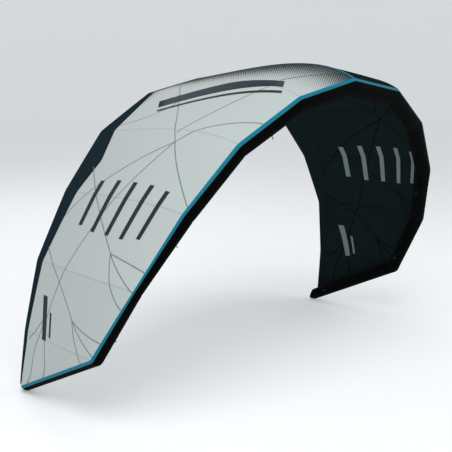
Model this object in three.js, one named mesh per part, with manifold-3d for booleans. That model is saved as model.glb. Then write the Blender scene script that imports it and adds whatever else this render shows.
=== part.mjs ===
// A nine-square-metre single-strut kitesurf kite: an arched wing of one fabric skin, stretched between an
// inflatable leading edge and a free trailing edge, with one inflatable strut under its centre line.
// Millimetres. +X runs towards one tip, +Y from the leading edge back to the trailing edge, +Z up.
// The origin is under the middle of the kite, on the ground plane that both wing tips touch.

import * as THREE from 'three';
import { mergeVertices } from 'three/addons/utils/BufferGeometryUtils.js';
import Module from 'manifold-3d';

const wasm = await Module();
wasm.setup();

// ---------- driving dimensions ----------

// The leading edge is cut in straight segments. Dive is the slope below the horizontal seen from in front,
// and sweep is the angle back from the span. The last segment closes the square wing tip.
const LEADING_EDGE = [
  { length: 582, dive: 10, sweep: 1 },
  { length: 574, dive: 30, sweep: 9.5 },
  { length: 588, dive: 49.5, sweep: 12 },
  { length: 618, dive: 62, sweep: 20 },
  { length: 643, dive: 79, sweep: 28.5 },
  { length: 1080, dive: 92.5, sweep: 62.5 },
];
const SEGMENTS = LEADING_EDGE.length;
const TIP = SEGMENTS;                       // the last station, at the end of the tip tube
const CENTRE_TUBE_RADIUS = 77;
const CORNER_TUBE_RADIUS = 57;              // at the bend between the leading edge and the wing tip
const TIP_TUBE_RADIUS = 54;
const CASING_WALL = 2;
const BLADDER_GAP = 1;
const BLADDER_WALL = 1.5;
const TUBE_SIDES = 20;

// The trailing edge runs almost straight across behind the arch, so the chord falls towards the tips.
const CENTRE_CHORD = 1650;
const CORNER_CHORD = 925;
const TIP_CHORD = 24;
const CHORD_TAPER = 2.05;                   // the taper's power: above 1, most of it is near the tips
const CHORD_DIP = 1;                        // how far the chord dips below the horizontal, in degrees

// The canopy's front edge lies on the tube, bound with piping. These are the angle of that edge at each
// station, measured from the tube's outward side and positive to the rear, and the piping's width.
const FRONT_EDGE = [
  { angle: -33, piping: 30 },
  { angle: -33, piping: 29 },
  { angle: -33, piping: 28 },
  { angle: -26, piping: 22 },
  { angle: -41, piping: 14 },
  { angle: -8, piping: 25 },
  { angle: 2, piping: 25 },
];
const LEAVING_ANGLE = -22;                  // where the skin leaves the tube, on the tube's own tangent
const LEAST_WRAP = 5;                       // the skin stays on the tube for at least this many degrees

// Canopy section
const CAMBER_CENTRE = 0.27;                 // the section's front control arm, as a share of its chord
const CAMBER_TIP = 0.16;
const CAMBER_REAR = 0.38;                   // and of its rear one
const TRAILING_SLOPE = 6;
const LIFT_OFF = 0.03;                      // how steeply the skin leaves the tube, above its tangent plane
const SKIN = 2;
const CLEARANCE = 1.6;
const SEAM_GAP = 0.4;
const CHORD_STEPS = 9;
const SPAN_STEPS = 3;
const BAND_WIDTH = 60;                      // the trailing-edge band's width, away from its widest place
const BAND_SWELL = 190;                     // how much wider it is there
const BAND_WIDEST = 2.5;                    // the station where it is widest
const BAND_SPREAD = 1.1;                    // how many stations the swell reaches
const CENTRE_TAPE_WIDTH = 28;
const TAPE = 1;

// Centre strut. Its ends are shares of the centre section's free curve.
const STRUT_FRONT_RADIUS = 50;
const STRUT_REAR_RADIUS = 26;
const STRUT_START = 0.02;
const STRUT_END = 0.9;
const STRUT_BLADDER_START = 0.105;
const STRUT_MARGIN = 0.01;                  // how far the bladder stops short of the casing's rear end
const BLADDER_END_WALL = 0.002;
const STRUT_STEPS = 9;
const RIDGE_SLOPE = 16;                     // steeper than the skin ever falls away beside the centre line

// Fabric flaps that close the open ends of the tubes. At the wing tips they are sewn into a pointed cap.
const FLAP_THICKNESS = 2.5;
const FLAP_GAP = 0.5;
const CAP_LENGTH = 75;
const CAP_POINT_RADIUS = 12;
const CAP_LEAN = [-14, 6];                  // how far the cap's point lies off the tube's axis

// Hinge of the plastic fittings: a pin between two ears, and a knuckle that turns on it
const PIN_RADIUS = 1.5;
const KNUCKLE_RADIUS = 4;
const KNUCKLE_CLEARANCE = 0.08;
const KNUCKLE_WIDTH = 11;
const EAR_WIDTH = 3;
const EAR_GAP = 0.4;

// Valves: the bore a pump nozzle goes into, the neck around it and the flange welded to the bladder
const INFLATE_VALVE = { bore: 14, neck: 19, flange: 30, height: 12 };
const DEFLATE_VALVE = { bore: 8, neck: 12, flange: 22, height: 9 };
const VALVE_DEPTH = 9;
const FLANGE_THICKNESS = 3;
const SADDLE_DEPTH = 12;                    // the flange follows the tube, so its rim reaches this far down
const SEAT_THICKNESS = 3;
const VALVE_SEAT = 9;                       // radius of the hole that the non-return disc shuts
const CAP_THICKNESS = 4;
const PLUG_CLEARANCE = 1.2;
const FITTING_GAP = 0.4;
const THROUGH = 30;                         // far enough to cut through a tube's wall or a fitting

// Hose that carries air from the leading edge to the strut, and its pinch clip
const HOSE_RADIUS = 11;
const HOSE_BORE = 8;
const HOSE_REACH = 70;                      // how far its ends run straight out before it bends
const HOSE_DEPTH = 12;                      // and how far they reach into the two tubes
const CLIP_LENGTH = 18;
const CLIP_HALF_WIDTH = 17;
const LEVER_LENGTH = 34;

// Line attachments: webbing loops sewn to the leading edge, with a knotted pigtail through each
const ANCHORS = [
  { name: 'front_1', segment: 1, share: 0.5, angle: 182 },
  { name: 'front_2', segment: 3, share: 0.35, angle: 182 },
  { name: 'front_3', segment: 4, share: 0.75, angle: 182 },
  { name: 'rear', segment: 5, share: 0.82, angle: 182 },
];
const LOOP_FOOT = 25;
const LOOP_WIDTH = 12;
const LOOP_RADIUS = 6;
const LOOP_BORE = 4;
const LOOP_HEIGHT = 6.5;                    // from the tube to the middle of the loop's hole
const CORD_RADIUS = 1.6;
const KNOT_RADIUS = 4.5;
const KNOT_START = 22;                      // measured from the middle of the loop's hole
const KNOT_END = 31;

const COLOURS = {
  canopy: { color: 0xb9c3c0, roughness: 0.6 },
  band: { color: 0x223038, roughness: 0.65 },
  casing: { color: 0x0a0b0c, roughness: 0.75 },
  piping: { color: 0x0a7d92, roughness: 0.55 },
  bladder: { color: 0xd8dcd4, roughness: 0.25 },
  plastic: { color: 0x17191b, roughness: 0.4 },
  webbing: { color: 0x121416, roughness: 0.85 },
  line: { color: 0x2b2f33, roughness: 0.8 },
};

// ---------- small helpers ----------

const radians = THREE.MathUtils.degToRad;
const lerp = THREE.MathUtils.lerp;
const vector = (x, y, z) => new THREE.Vector3(x, y, z);
const AXIS_Y = vector(0, 1, 0);
const kite = new THREE.Group();

function addMesh(name, geometry, look) {
  const mesh = new THREE.Mesh(geometry, new THREE.MeshStandardMaterial(COLOURS[look]));
  mesh.name = name;
  kite.add(mesh);
  return mesh;
}

function geometryFrom(points, triangles) {
  const geometry = new THREE.BufferGeometry();
  const coordinates = points.flatMap((p) => p.toArray());
  geometry.setAttribute('position', new THREE.Float32BufferAttribute(coordinates, 3));
  geometry.setIndex(triangles.flat());
  return geometry;
}

function toSolid(geometry) {
  const bare = geometry.clone();
  bare.deleteAttribute('normal');
  bare.deleteAttribute('uv');
  const merged = mergeVertices(bare, 1e-3);
  const vertProperties = new Float32Array(merged.attributes.position.array);
  const triVerts = new Uint32Array(merged.index.array);
  return new wasm.Manifold(new wasm.Mesh({ numProp: 3, vertProperties, triVerts }));
}

function toGeometry(solid) {
  const mesh = solid.getMesh();
  const points = [];
  for (let i = 0; i < mesh.numVert; i++) {
    const at = i * mesh.numProp;
    points.push(vector(...mesh.vertProperties.subarray(at, at + 3)));
  }
  const geometry = geometryFrom(points, []);
  geometry.setIndex([...mesh.triVerts]);
  return geometry;
}

const cut = (geometry, ...tools) =>
  toGeometry(tools.reduce((solid, tool) => solid.subtract(toSolid(tool)), toSolid(geometry)));
const join = (geometry, ...more) =>
  toGeometry(more.reduce((solid, other) => solid.add(toSolid(other)), toSolid(geometry)));

function cylinder(radius, from, to, sides = 32) {
  const upright = new THREE.CylinderGeometry(radius, radius, to - from, sides).rotateX(Math.PI / 2);
  return upright.translate(0, 0, (from + to) / 2);
}

const box = (x0, x1, y0, y1, z0, z1) =>
  new THREE.BoxGeometry(x1 - x0, y1 - y0, z1 - z0).translate((x0 + x1) / 2, (y0 + y1) / 2, (z0 + z1) / 2);

// A seat for a fitting: where its origin goes, and the directions of its X and Z axes.
function seat(origin, x, z) {
  return new THREE.Matrix4().makeBasis(x, z.clone().cross(x), z).setPosition(origin);
}

// The mirror image across the kite's centre plane.
function mirrored(geometry) {
  const copy = geometry.clone();
  copy.scale(-1, 1, 1);
  const index = copy.index.array;
  for (let i = 0; i < index.length; i += 3) [index[i + 1], index[i + 2]] = [index[i + 2], index[i + 1]];
  return copy;
}

// Ways to close the end of a loft: a fan for a round loop, a ladder for the thin loop of a sheet.
function fanCap(size) {
  return Array.from({ length: size - 2 }, (_, i) => [0, i + 2, i + 1]);
}

function ladderCap(size) {
  const rungs = Array.from({ length: size / 2 - 1 }, (_, i) => [i, i + 1, size - 2 - i, size - 1 - i]);
  return rungs.flatMap(([a, b, c, d]) => [[a, c, b], [a, d, c]]);
}

// A closed body lofted through loops that all have the same number of points.
function loft(loops, cap = fanCap) {
  const size = loops[0].length;
  const triangles = [];
  for (let i = 0; i + 1 < loops.length; i++) {
    for (let j = 0; j < size; j++) {
      const a = i * size + j;
      const b = i * size + ((j + 1) % size);
      triangles.push([a, b, b + size], [a, b + size, a + size]);
    }
  }
  const last = (loops.length - 1) * size;
  for (const [a, b, c] of cap(size)) triangles.push([a, b, c], [last + a, last + c, last + b]);
  return facingOut(geometryFrom(loops.flat(), triangles));
}

function facingOut(geometry) {
  const position = geometry.attributes.position;
  const index = geometry.index.array;
  const corner = (i) => vector().fromBufferAttribute(position, index[i]);
  let volume = 0;
  for (let i = 0; i < index.length; i += 3) volume += corner(i).dot(corner(i + 1).cross(corner(i + 2)));
  if (volume >= 0) return geometry;
  for (let i = 0; i < index.length; i += 3) [index[i + 1], index[i + 2]] = [index[i + 2], index[i + 1]];
  return geometry;
}

// A thin sheet from rows of points: each row is the outer line, and its inner line lies SKIN inside it.
function sheet(rows) {
  const loops = rows.map((row) => [...row.map((p) => p.outer), ...row.map((p) => p.inner).reverse()]);
  return loft(loops, ladderCap);
}

// ---------- the leading edge's stations ----------

const segmentDirection = ({ dive, sweep }) =>
  vector(
    Math.cos(radians(sweep)) * Math.cos(radians(dive)),
    Math.sin(radians(sweep)),
    -Math.cos(radians(sweep)) * Math.sin(radians(dive)),
  );

function tubeRadius(station) {
  if (station <= TIP - 1) return lerp(CENTRE_TUBE_RADIUS, CORNER_TUBE_RADIUS, station / (TIP - 1));
  return lerp(CORNER_TUBE_RADIUS, TIP_TUBE_RADIUS, station - (TIP - 1));
}

function chordLength(station) {
  if (station === TIP) return TIP_CHORD;
  return CENTRE_CHORD - (CENTRE_CHORD - CORNER_CHORD) * (station / (TIP - 1)) ** CHORD_TAPER;
}

// Each station has its place on the tube's axis, the directions of the two tubes that meet there, the plane
// where they meet (its normal is along), the outward and rearward directions in that plane, and the stretch
// that a mitred round tube has there.
function makeStations() {
  const directions = LEADING_EDGE.map(segmentDirection);
  const place = vector(0, 0, 0);
  const stations = [];
  for (let i = 0; i <= SEGMENTS; i++) {
    const before = i === 0 ? directions[0].clone().multiply(vector(1, -1, -1)) : directions[i - 1];
    const after = i === SEGMENTS ? before : directions[i];
    const along = before.clone().add(after).normalize();
    const rear = AXIS_Y.clone().addScaledVector(along, -AXIS_Y.dot(along)).normalize();
    const outward = along.clone().cross(rear);
    const bend = after.clone().sub(before);
    const stretch = 1 / Math.cos(before.angleTo(after) / 2) - 1;
    if (bend.length() > 1e-6) bend.normalize();
    const tubes = [before, after];
    const radius = tubeRadius(i);
    const { angle: front, piping } = FRONT_EDGE[i];
    const leaving = Math.max(LEAVING_ANGLE, front + LEAST_WRAP);
    const axes = { tubes, along, rear, outward, bend, stretch };
    stations.push({ index: i, place: place.clone(), ...axes, radius, front, leaving, piping });
    if (i < SEGMENTS) place.addScaledVector(directions[i], LEADING_EDGE[i].length);
  }
  return stations;
}

const STATIONS = makeStations();

// A point on a station's ring, at an angle from the outward side and a radius.
function ringPoint(station, degrees, radius) {
  const offset = station.outward.clone().multiplyScalar(Math.cos(radians(degrees)) * radius);
  offset.addScaledVector(station.rear, Math.sin(radians(degrees)) * radius);
  offset.addScaledVector(station.bend, station.stretch * offset.dot(station.bend));
  return offset.add(station.place);
}

const ring = (station, radius) =>
  Array.from({ length: TUBE_SIDES }, (_, j) => ringPoint(station, (360 * j) / TUBE_SIDES, radius));

// Moves a loop from one station a short way towards the matching loop of the next.
function nudged(from, to, distance) {
  return from.map((p, j) => p.clone().addScaledVector(to[j].clone().sub(p).normalize(), distance));
}

// A solid along the leading edge from one station to another, with its radius changed by an offset and each
// end drawn back by a gap.
function tubeSolid(first, last, offset, startGap, endGap = startGap) {
  const loops = STATIONS.slice(first, last + 1).map((s) => ring(s, s.radius + offset));
  const end = loops.length - 1;
  const start = nudged(loops[0], loops[1], startGap);
  loops[end] = nudged(loops[end], loops[end - 1], endGap);
  loops[0] = start;
  return loft(loops);
}

// The same along the whole leading edge, from tip to tip.
function wholeEdge(offset, endGap) {
  const half = tubeSolid(0, TIP, offset, -1, endGap);
  return join(half, mirrored(half));
}

// ---------- the canopy's sections ----------

// The trailing edge's place behind a station. The chord leans a little below the horizontal, and at the end
// of the tip tube the skin runs straight off the tube.
function trailingPoint(station) {
  if (station.index === TIP) {
    const leave = ringPoint(station, station.leaving, station.radius + CLEARANCE + SKIN);
    const tangent = ringPoint(station, station.leaving + 90, 1).sub(station.place);
    return leave.addScaledVector(tangent, TIP_CHORD);
  }
  const direction = vector(0, Math.cos(radians(CHORD_DIP)), -Math.sin(radians(CHORD_DIP)));
  return station.place.clone().addScaledVector(direction, chordLength(station.index));
}

// One section of the skin: a few points that lie on the tube, then a Bezier curve to the trailing edge.
function section(station) {
  const leave = ringPoint(station, station.leaving, station.radius + CLEARANCE + SKIN);
  const trail = trailingPoint(station);
  const chord = trail.clone().sub(leave);
  const length = chord.length();
  const camber = lerp(CAMBER_CENTRE, CAMBER_TIP, station.index / TIP);
  const back = chord.clone().normalize();
  const out = station.outward.clone().addScaledVector(back, -station.outward.dot(back)).normalize();
  const rise = Math.max(...station.tubes.map((direction) => {
    const normal = leave.clone().sub(station.place);
    normal.addScaledVector(direction, -normal.dot(direction)).normalize();
    return (LIFT_OFF - back.dot(normal)) / out.dot(normal);
  }));
  const leaving = back.clone().addScaledVector(out, rise).normalize();
  const arriving = back.clone().addScaledVector(out, -Math.tan(radians(TRAILING_SLOPE))).normalize();
  const curve = new THREE.CubicBezierCurve3(
    leave,
    leave.clone().addScaledVector(leaving, camber * length),
    trail.clone().addScaledVector(arriving, -CAMBER_REAR * length),
    trail,
  );
  return { station, curve, out };
}

const SECTIONS = STATIONS.map(section);

// The skin's outer and inner point at a share of the section's free curve.
function skinPoint({ curve, out }, share) {
  const outer = curve.getPoint(share);
  const tangent = curve.getTangent(share);
  const inward = tangent.multiplyScalar(out.dot(tangent)).sub(out).normalize();
  return { outer, inner: outer.clone().addScaledVector(inward, SKIN) };
}

const shares = (from, to, steps) => Array.from({ length: steps + 1 }, (_, i) => lerp(from, to, i / steps));

// A value that two neighbouring stations hold, part of the way from one to the other.
const partWay = (index, share, key) => lerp(STATIONS[index][key], STATIONS[index + 1][key], share);

// Cloth's outer and inner point on the tube, part of the way from a station to the next one.
function wrapPoint(index, share, degrees) {
  const onTube = (gap) => {
    const ends = [STATIONS[index], STATIONS[index + 1]];
    const [here, next] = ends.map((station) => ringPoint(station, degrees, station.radius + gap));
    return here.lerp(next, share);
  };
  return { outer: onTube(CLEARANCE + SKIN), inner: onTube(CLEARANCE) };
}

// Where the trailing-edge band starts, as a share of the section's free curve.
function bandShare({ station, curve }) {
  const swell = Math.exp(-(((station.index - BAND_WIDEST) / BAND_SPREAD) ** 2));
  return station.index === TIP ? 0.5 : 1 - (BAND_WIDTH + BAND_SWELL * swell) / curve.getLength();
}

// A panel's row of points from its front edge to the band, part of the way from a station to the next one.
function panelRow(index, share) {
  const front = partWay(index, share, 'front');
  const leaving = partWay(index, share, 'leaving');
  const [here, next] = [SECTIONS[index], SECTIONS[index + 1]].map((sectionAt) =>
    shares(0, bandShare(sectionAt), CHORD_STEPS).map((s) => skinPoint(sectionAt, s)));
  const free = here.map(({ outer, inner }, j) => ({
    outer: outer.lerp(next[j].outer, share),
    inner: inner.lerp(next[j].inner, share),
  }));
  return [wrapPoint(index, share, front), wrapPoint(index, share, (front + leaving) / 2), ...free];
}

function bandRow(sectionAt) {
  const start = bandShare(sectionAt) + (3 * SEAM_GAP) / sectionAt.curve.getLength();
  return shares(start, 1, 2).map((s) => skinPoint(sectionAt, s));
}

const closer = (row, other, distance) =>
  row.map((p, j) => ({
    outer: nudged([p.outer], [other[j].outer], distance)[0],
    inner: nudged([p.inner], [other[j].inner], distance)[0],
  }));

// ---------- seats on the tubes ----------

// On a leading-edge segment: X along the tube, Z straight out of it, the origin on its surface.
function edgeSeat(segment, share, degrees) {
  const direction = segmentDirection(LEADING_EDGE[segment]);
  const rear = AXIS_Y.clone().addScaledVector(direction, -AXIS_Y.dot(direction)).normalize();
  const outward = direction.clone().cross(rear).multiplyScalar(Math.cos(radians(degrees)));
  const normal = outward.addScaledVector(rear, Math.sin(radians(degrees)));
  const origin = STATIONS[segment].place.clone().lerp(STATIONS[segment + 1].place, share);
  origin.addScaledVector(normal, lerp(STATIONS[segment].radius, STATIONS[segment + 1].radius, share));
  return seat(origin, direction, normal);
}

const FLIP = new THREE.Matrix4().makeScale(-1, 1, 1);
const flipped = (matrix) => FLIP.clone().multiply(matrix).multiply(FLIP);

// The strut hangs under the skin along the centre section. Each of its stations is a place on its axis with
// the axis direction, the direction down from the skin and the radius there.
function strutStation(share) {
  const { inner } = skinPoint(SECTIONS[0], share);
  const along = SECTIONS[0].curve.getTangent(share);
  const down = vector(1, 0, 0).cross(along).negate();
  const radius = lerp(STRUT_FRONT_RADIUS, STRUT_REAR_RADIUS, share);
  const depth = (radius + CLEARANCE) / Math.cos(radians(RIDGE_SLOPE));
  return { place: inner.addScaledVector(down, depth), along, down, radius };
}

function strutSolid(from, to, offset) {
  const stations = shares(from, to, STRUT_STEPS).map(strutStation);
  return loft(stations.map(({ place, down, radius }) =>
    Array.from({ length: TUBE_SIDES }, (_, j) => {
      const angle = (2 * Math.PI * j) / TUBE_SIDES;
      const side = vector(Math.sin(angle) * (radius + offset), 0, 0);
      return place.clone().add(side).addScaledVector(down, Math.cos(angle) * (radius + offset));
    })));
}

const inflateSeat = flipped(edgeSeat(0, 0.42, 150));
const deflateSeat = flipped(edgeSeat(4, 0.35, 165));
const hoseSeat = edgeSeat(0, 0.3, 120);
const strutHoseStation = strutStation(0.16);
const strutHoseSeat = seat(
  strutHoseStation.place.clone().add(vector(strutHoseStation.radius, 0, 0)), AXIS_Y, vector(1, 0, 0));

// ---------- holes through the casings and bladders ----------

const port = (radius, at) => cylinder(radius + FITTING_GAP, -THROUGH, THROUGH).applyMatrix4(at);
const PORTS = [
  port(INFLATE_VALVE.neck, inflateSeat),
  port(DEFLATE_VALVE.neck, deflateSeat),
  port(HOSE_RADIUS, hoseSeat),
  port(HOSE_RADIUS, strutHoseSeat),
];

// ---------- fabric and tubes; each left piece mirrors its right one, apart from the ports ----------

function addPair(name, geometry, look) {
  addMesh(`${name}_right`, geometry, look);
  addMesh(`${name}_left`, mirrored(geometry), look);
}

function addCasings() {
  for (let i = 0; i < SEGMENTS; i++) {
    const shell = cut(tubeSolid(i, i + 1, 0, SEAM_GAP / 2), tubeSolid(i, i + 1, -CASING_WALL, -1));
    addMesh(`edge_casing_${i + 1}_right`, cut(shell, ...PORTS), 'casing');
    addMesh(`edge_casing_${i + 1}_left`, cut(mirrored(shell), ...PORTS), 'casing');
  }
}

function addCanopy() {
  for (let i = 0; i < SEGMENTS; i++) {
    const rows = shares(0, 1, SPAN_STEPS).map((share) => panelRow(i, share));
    const near = closer(rows[0], rows[1], SEAM_GAP / 2);
    const far = closer(rows[SPAN_STEPS], rows[SPAN_STEPS - 1], SEAM_GAP / 2);
    addPair(`canopy_panel_${i + 1}`, sheet([near, ...rows.slice(1, -1), far]), 'canopy');
  }
  const bands = SECTIONS.map(bandRow);
  bands[0] = closer(bands[0], bands[1], SEAM_GAP / 2);
  addPair('trailing_band', sheet(bands), 'band');
}

function addPiping() {
  const pipingRow = (index, share) => {
    const degreesPerMm = THREE.MathUtils.radToDeg(1 / partWay(index, share, 'radius'));
    const end = partWay(index, share, 'front') - SEAM_GAP * degreesPerMm;
    const width = partWay(index, share, 'piping') * degreesPerMm;
    return shares(end - width, end, 2).map((a) => wrapPoint(index, share, a));
  };
  const rows = [pipingRow(0, 0)];
  for (let i = 0; i < SEGMENTS; i++) {
    rows.push(...shares(0, 1, SPAN_STEPS).slice(1).map((share) => pipingRow(i, share)));
  }
  rows[0] = closer(rows[0], rows[1], SEAM_GAP / 2);
  addPair('edge_piping', sheet(rows), 'piping');
}

// The tape lies on both centre panels, so its edges are lower than its middle.
function addCentreTape() {
  const tapeRow = (x) => {
    const share = Math.abs(x) / STATIONS[1].place.x;
    const between = (p, q) => p.clone().lerp(q, share).multiply(vector(Math.sign(x) || 1, 1, 1));
    const [here, next] = [0, 1].map((i) => [...panelRow(0, i), ...bandRow(SECTIONS[i]).slice(1)]);
    return here.map((p, j) => {
      const base = between(p.outer, next[j].outer);
      const away = p.outer.clone().sub(p.inner).normalize();
      return {
        outer: base.clone().addScaledVector(away, SEAM_GAP + TAPE),
        inner: base.clone().addScaledVector(away, SEAM_GAP),
      };
    });
  };
  const rows = [-0.5, 0, 0.5].map((side) => tapeRow(side * CENTRE_TAPE_WIDTH));
  addMesh('centre_seam_tape', sheet(rows), 'piping');
}

function addBladdersAndStrut() {
  const skin = -CASING_WALL - BLADDER_GAP;
  const edge = cut(wholeEdge(skin, 6), wholeEdge(skin - BLADDER_WALL, 6 + BLADDER_WALL), ...PORTS);
  addMesh('edge_bladder', edge, 'bladder');

  const strut = strutSolid(STRUT_START, STRUT_END, 0);
  const bore = strutSolid(STRUT_START - STRUT_MARGIN, STRUT_END + STRUT_MARGIN, -CASING_WALL);
  addMesh('strut_casing', cut(strut, bore, wholeEdge(FITTING_GAP, 0), ...PORTS), 'casing');
  const strutSkin = skin - BLADDER_GAP;
  const outer = strutSolid(STRUT_BLADDER_START, STRUT_END - STRUT_MARGIN, strutSkin);
  const airStart = STRUT_BLADDER_START + BLADDER_END_WALL;
  const air = strutSolid(airStart, STRUT_END - STRUT_MARGIN - BLADDER_END_WALL, strutSkin - BLADDER_WALL);
  addMesh('strut_bladder', cut(outer, air, ...PORTS), 'bladder');
}

// ---------- flaps at the tube ends: hinged at the origin about X, the tube's end behind them ----------

function flap(radius) {
  const disc = cylinder(radius, FLAP_GAP, FLAP_GAP + FLAP_THICKNESS, TUBE_SIDES);
  return disc.translate(0, radius, -FLAP_GAP - FLAP_THICKNESS / 2);
}

// A hollow cap whose base has the place of a flap's disc.
function pointedFlap(radius) {
  const base = -FLAP_THICKNESS / 2;
  const cone = (wall, bottom, top) => {
    const circle = (size, x, y, z) =>
      Array.from({ length: TUBE_SIDES }, (_, j) => {
        const angle = (2 * Math.PI * j) / TUBE_SIDES;
        return vector(x + Math.cos(angle) * (size - wall), y + Math.sin(angle) * (size - wall), z);
      });
    const point = circle(CAP_POINT_RADIUS, CAP_LEAN[0], radius + CAP_LEAN[1], top);
    return loft([circle(radius, 0, radius, bottom), point]);
  };
  const hollow = cone(FLAP_THICKNESS, base - 1, CAP_LENGTH - FLAP_THICKNESS);
  return cut(cone(0, base, CAP_LENGTH), hollow);
}

function addFlaps() {
  const tip = STATIONS[TIP];
  const hingeSide = ringPoint(tip, 158, tip.radius);
  const toCentre = tip.place.clone().sub(hingeSide).normalize();
  const offset = FLAP_GAP + FLAP_THICKNESS / 2;
  const hinge = hingeSide.addScaledVector(tip.along, offset);
  const tipSeat = seat(hinge, toCentre.clone().cross(tip.along), tip.along);
  addMesh('tip_flap_right', pointedFlap(tip.radius), 'casing').applyMatrix4(tipSeat);
  addMesh('tip_flap_left', mirrored(pointedFlap(tip.radius)), 'casing').applyMatrix4(flipped(tipSeat));

  const { place, along, down, radius } = strutStation(STRUT_END);
  const below = place.addScaledVector(down, radius).addScaledVector(along, offset);
  const strutSeat = seat(below, down.clone().negate().cross(along), along);
  addMesh('strut_end_flap', flap(radius), 'casing').applyMatrix4(strutSeat);
}

// ---------- plastic fittings ----------

// Two ears with a pin between them, standing on a block that reaches down to a level, with the pin on X.
function hingeEars(bottom) {
  const outside = KNUCKLE_WIDTH / 2 + EAR_GAP + EAR_WIDTH;
  const pin = cylinder(PIN_RADIUS, -outside, outside, 24).rotateY(Math.PI / 2);
  const ear = (x) => join(
    box(x, x + EAR_WIDTH, -KNUCKLE_RADIUS, KNUCKLE_RADIUS, bottom, 0),
    cylinder(KNUCKLE_RADIUS, x, x + EAR_WIDTH).rotateY(Math.PI / 2),
  );
  return join(pin, ear(-outside), ear(outside - EAR_WIDTH));
}

// The knuckle with its arm, which reaches out along +Y to a distance.
function hingeKnuckle(reach, thickness) {
  const half = KNUCKLE_WIDTH / 2;
  const barrel = cylinder(KNUCKLE_RADIUS, -half, half).rotateY(Math.PI / 2);
  const arm = box(-half, half, 0, reach, KNUCKLE_RADIUS - thickness, KNUCKLE_RADIUS);
  const bore = cylinder(PIN_RADIUS + KNUCKLE_CLEARANCE, -THROUGH, THROUGH, 24).rotateY(Math.PI / 2);
  return cut(join(barrel, arm), bore);
}

// A valve stands on the tube with its bore along Z. Its cap turns on a hinge beside the neck.
const capHinge = ({ neck }) => neck + KNUCKLE_RADIUS + 2;

function valveBase({ bore, neck, flange, height }, at, hasSeat) {
  const hinge = hingeEars(-height - 2).translate(0, -capHinge({ neck }), height);
  const saddle = join(cylinder(flange, -SADDLE_DEPTH, FLANGE_THICKNESS), hinge).applyMatrix4(at);
  const outside = cut(saddle, wholeEdge(FITTING_GAP, 0));
  const passage = [cylinder(hasSeat ? VALVE_SEAT : bore, -THROUGH, THROUGH)];
  if (hasSeat) passage.push(cylinder(bore, 0, THROUGH), cylinder(bore, -THROUGH, -SEAT_THICKNESS));
  return cut(
    join(outside, cylinder(neck, -VALVE_DEPTH, height).applyMatrix4(at)),
    ...passage.map((hole) => hole.applyMatrix4(at)),
  );
}

function valveCap({ bore, neck, height }) {
  const y = capHinge({ neck });
  const top = KNUCKLE_RADIUS;
  const lid = cylinder(neck + 1, FITTING_GAP, top).translate(0, y, 0);
  const plug = cylinder(bore - PLUG_CLEARANCE, -5, top - 1).translate(0, y, 0);
  return join(hingeKnuckle(y - neck + 2, top - FITTING_GAP), lid, plug);
}

function addValve(name, valve, at, hasSeat) {
  addMesh(`${name}_valve_base`, valveBase(valve, at, hasSeat), 'plastic');
  const hinge = at.clone().multiply(new THREE.Matrix4().makeTranslation(0, -capHinge(valve), valve.height));
  addMesh(`${name}_valve_cap`, valveCap(valve), 'plastic').applyMatrix4(hinge);
}

// The non-return disc lies under its seat and has a stem up through it.
function addValveDisc() {
  const disc = cylinder(INFLATE_VALVE.bore - 1.2, -5.4, -3.4);
  addMesh('inflate_valve_disc', join(disc, cylinder(2, -4, 4)), 'plastic').applyMatrix4(inflateSeat);
}

// ---------- hose and clip ----------

const originOf = (matrix, along = 0) => vector(0, 0, along).applyMatrix4(matrix);
const HOSE_PATH = new THREE.CubicBezierCurve3(
  originOf(hoseSeat, 2),
  originOf(hoseSeat, HOSE_REACH),
  originOf(strutHoseSeat, HOSE_REACH),
  originOf(strutHoseSeat, 2),
);

function hoseSolid(radius, depth) {
  const frames = HOSE_PATH.computeFrenetFrames(16, false);
  const loop = (centre, k) =>
    Array.from({ length: 16 }, (_, j) => {
      const angle = (Math.PI * j) / 8;
      const across = frames.normals[k].clone().multiplyScalar(Math.cos(angle) * radius);
      return across.addScaledVector(frames.binormals[k], Math.sin(angle) * radius).add(centre);
    });
  const centres = frames.tangents.map((_, k) => HOSE_PATH.getPointAt(k / 16));
  const loops = centres.map(loop);
  loops.unshift(loop(centres[0].clone().addScaledVector(frames.tangents[0], -depth), 0));
  loops.push(loop(centres[16].clone().addScaledVector(frames.tangents[16], depth), 16));
  return loft(loops);
}

function addHose() {
  const hose = cut(hoseSolid(HOSE_RADIUS, HOSE_DEPTH), hoseSolid(HOSE_BORE, HOSE_DEPTH + 2));
  addMesh('crossover_hose', hose, 'line');
  const along = HOSE_PATH.getTangentAt(0.5);
  const up = vector(0, 0, -1).addScaledVector(along, along.z).normalize();
  const clipSeat = seat(HOSE_PATH.getPointAt(0.5), along, up);
  const half = CLIP_LENGTH / 2;
  const block = box(-half, half, -CLIP_HALF_WIDTH, CLIP_HALF_WIDTH, -16, 15);
  const bore = cylinder(HOSE_RADIUS + 3 * FITTING_GAP, -THROUGH, THROUGH).rotateY(Math.PI / 2);
  const hinge = vector(0, -CLIP_HALF_WIDTH + KNUCKLE_RADIUS, 20);
  const body = cut(join(block, hingeEars(-6).translate(...hinge)), bore);
  addMesh('hose_clip_body', body, 'plastic').applyMatrix4(clipSeat);
  const lever = hingeKnuckle(LEVER_LENGTH, 3);
  const pivot = clipSeat.clone().multiply(new THREE.Matrix4().makeTranslation(...hinge));
  addMesh('hose_clip_lever', lever, 'plastic').applyMatrix4(pivot);
}

// ---------- line attachments ----------

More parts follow.
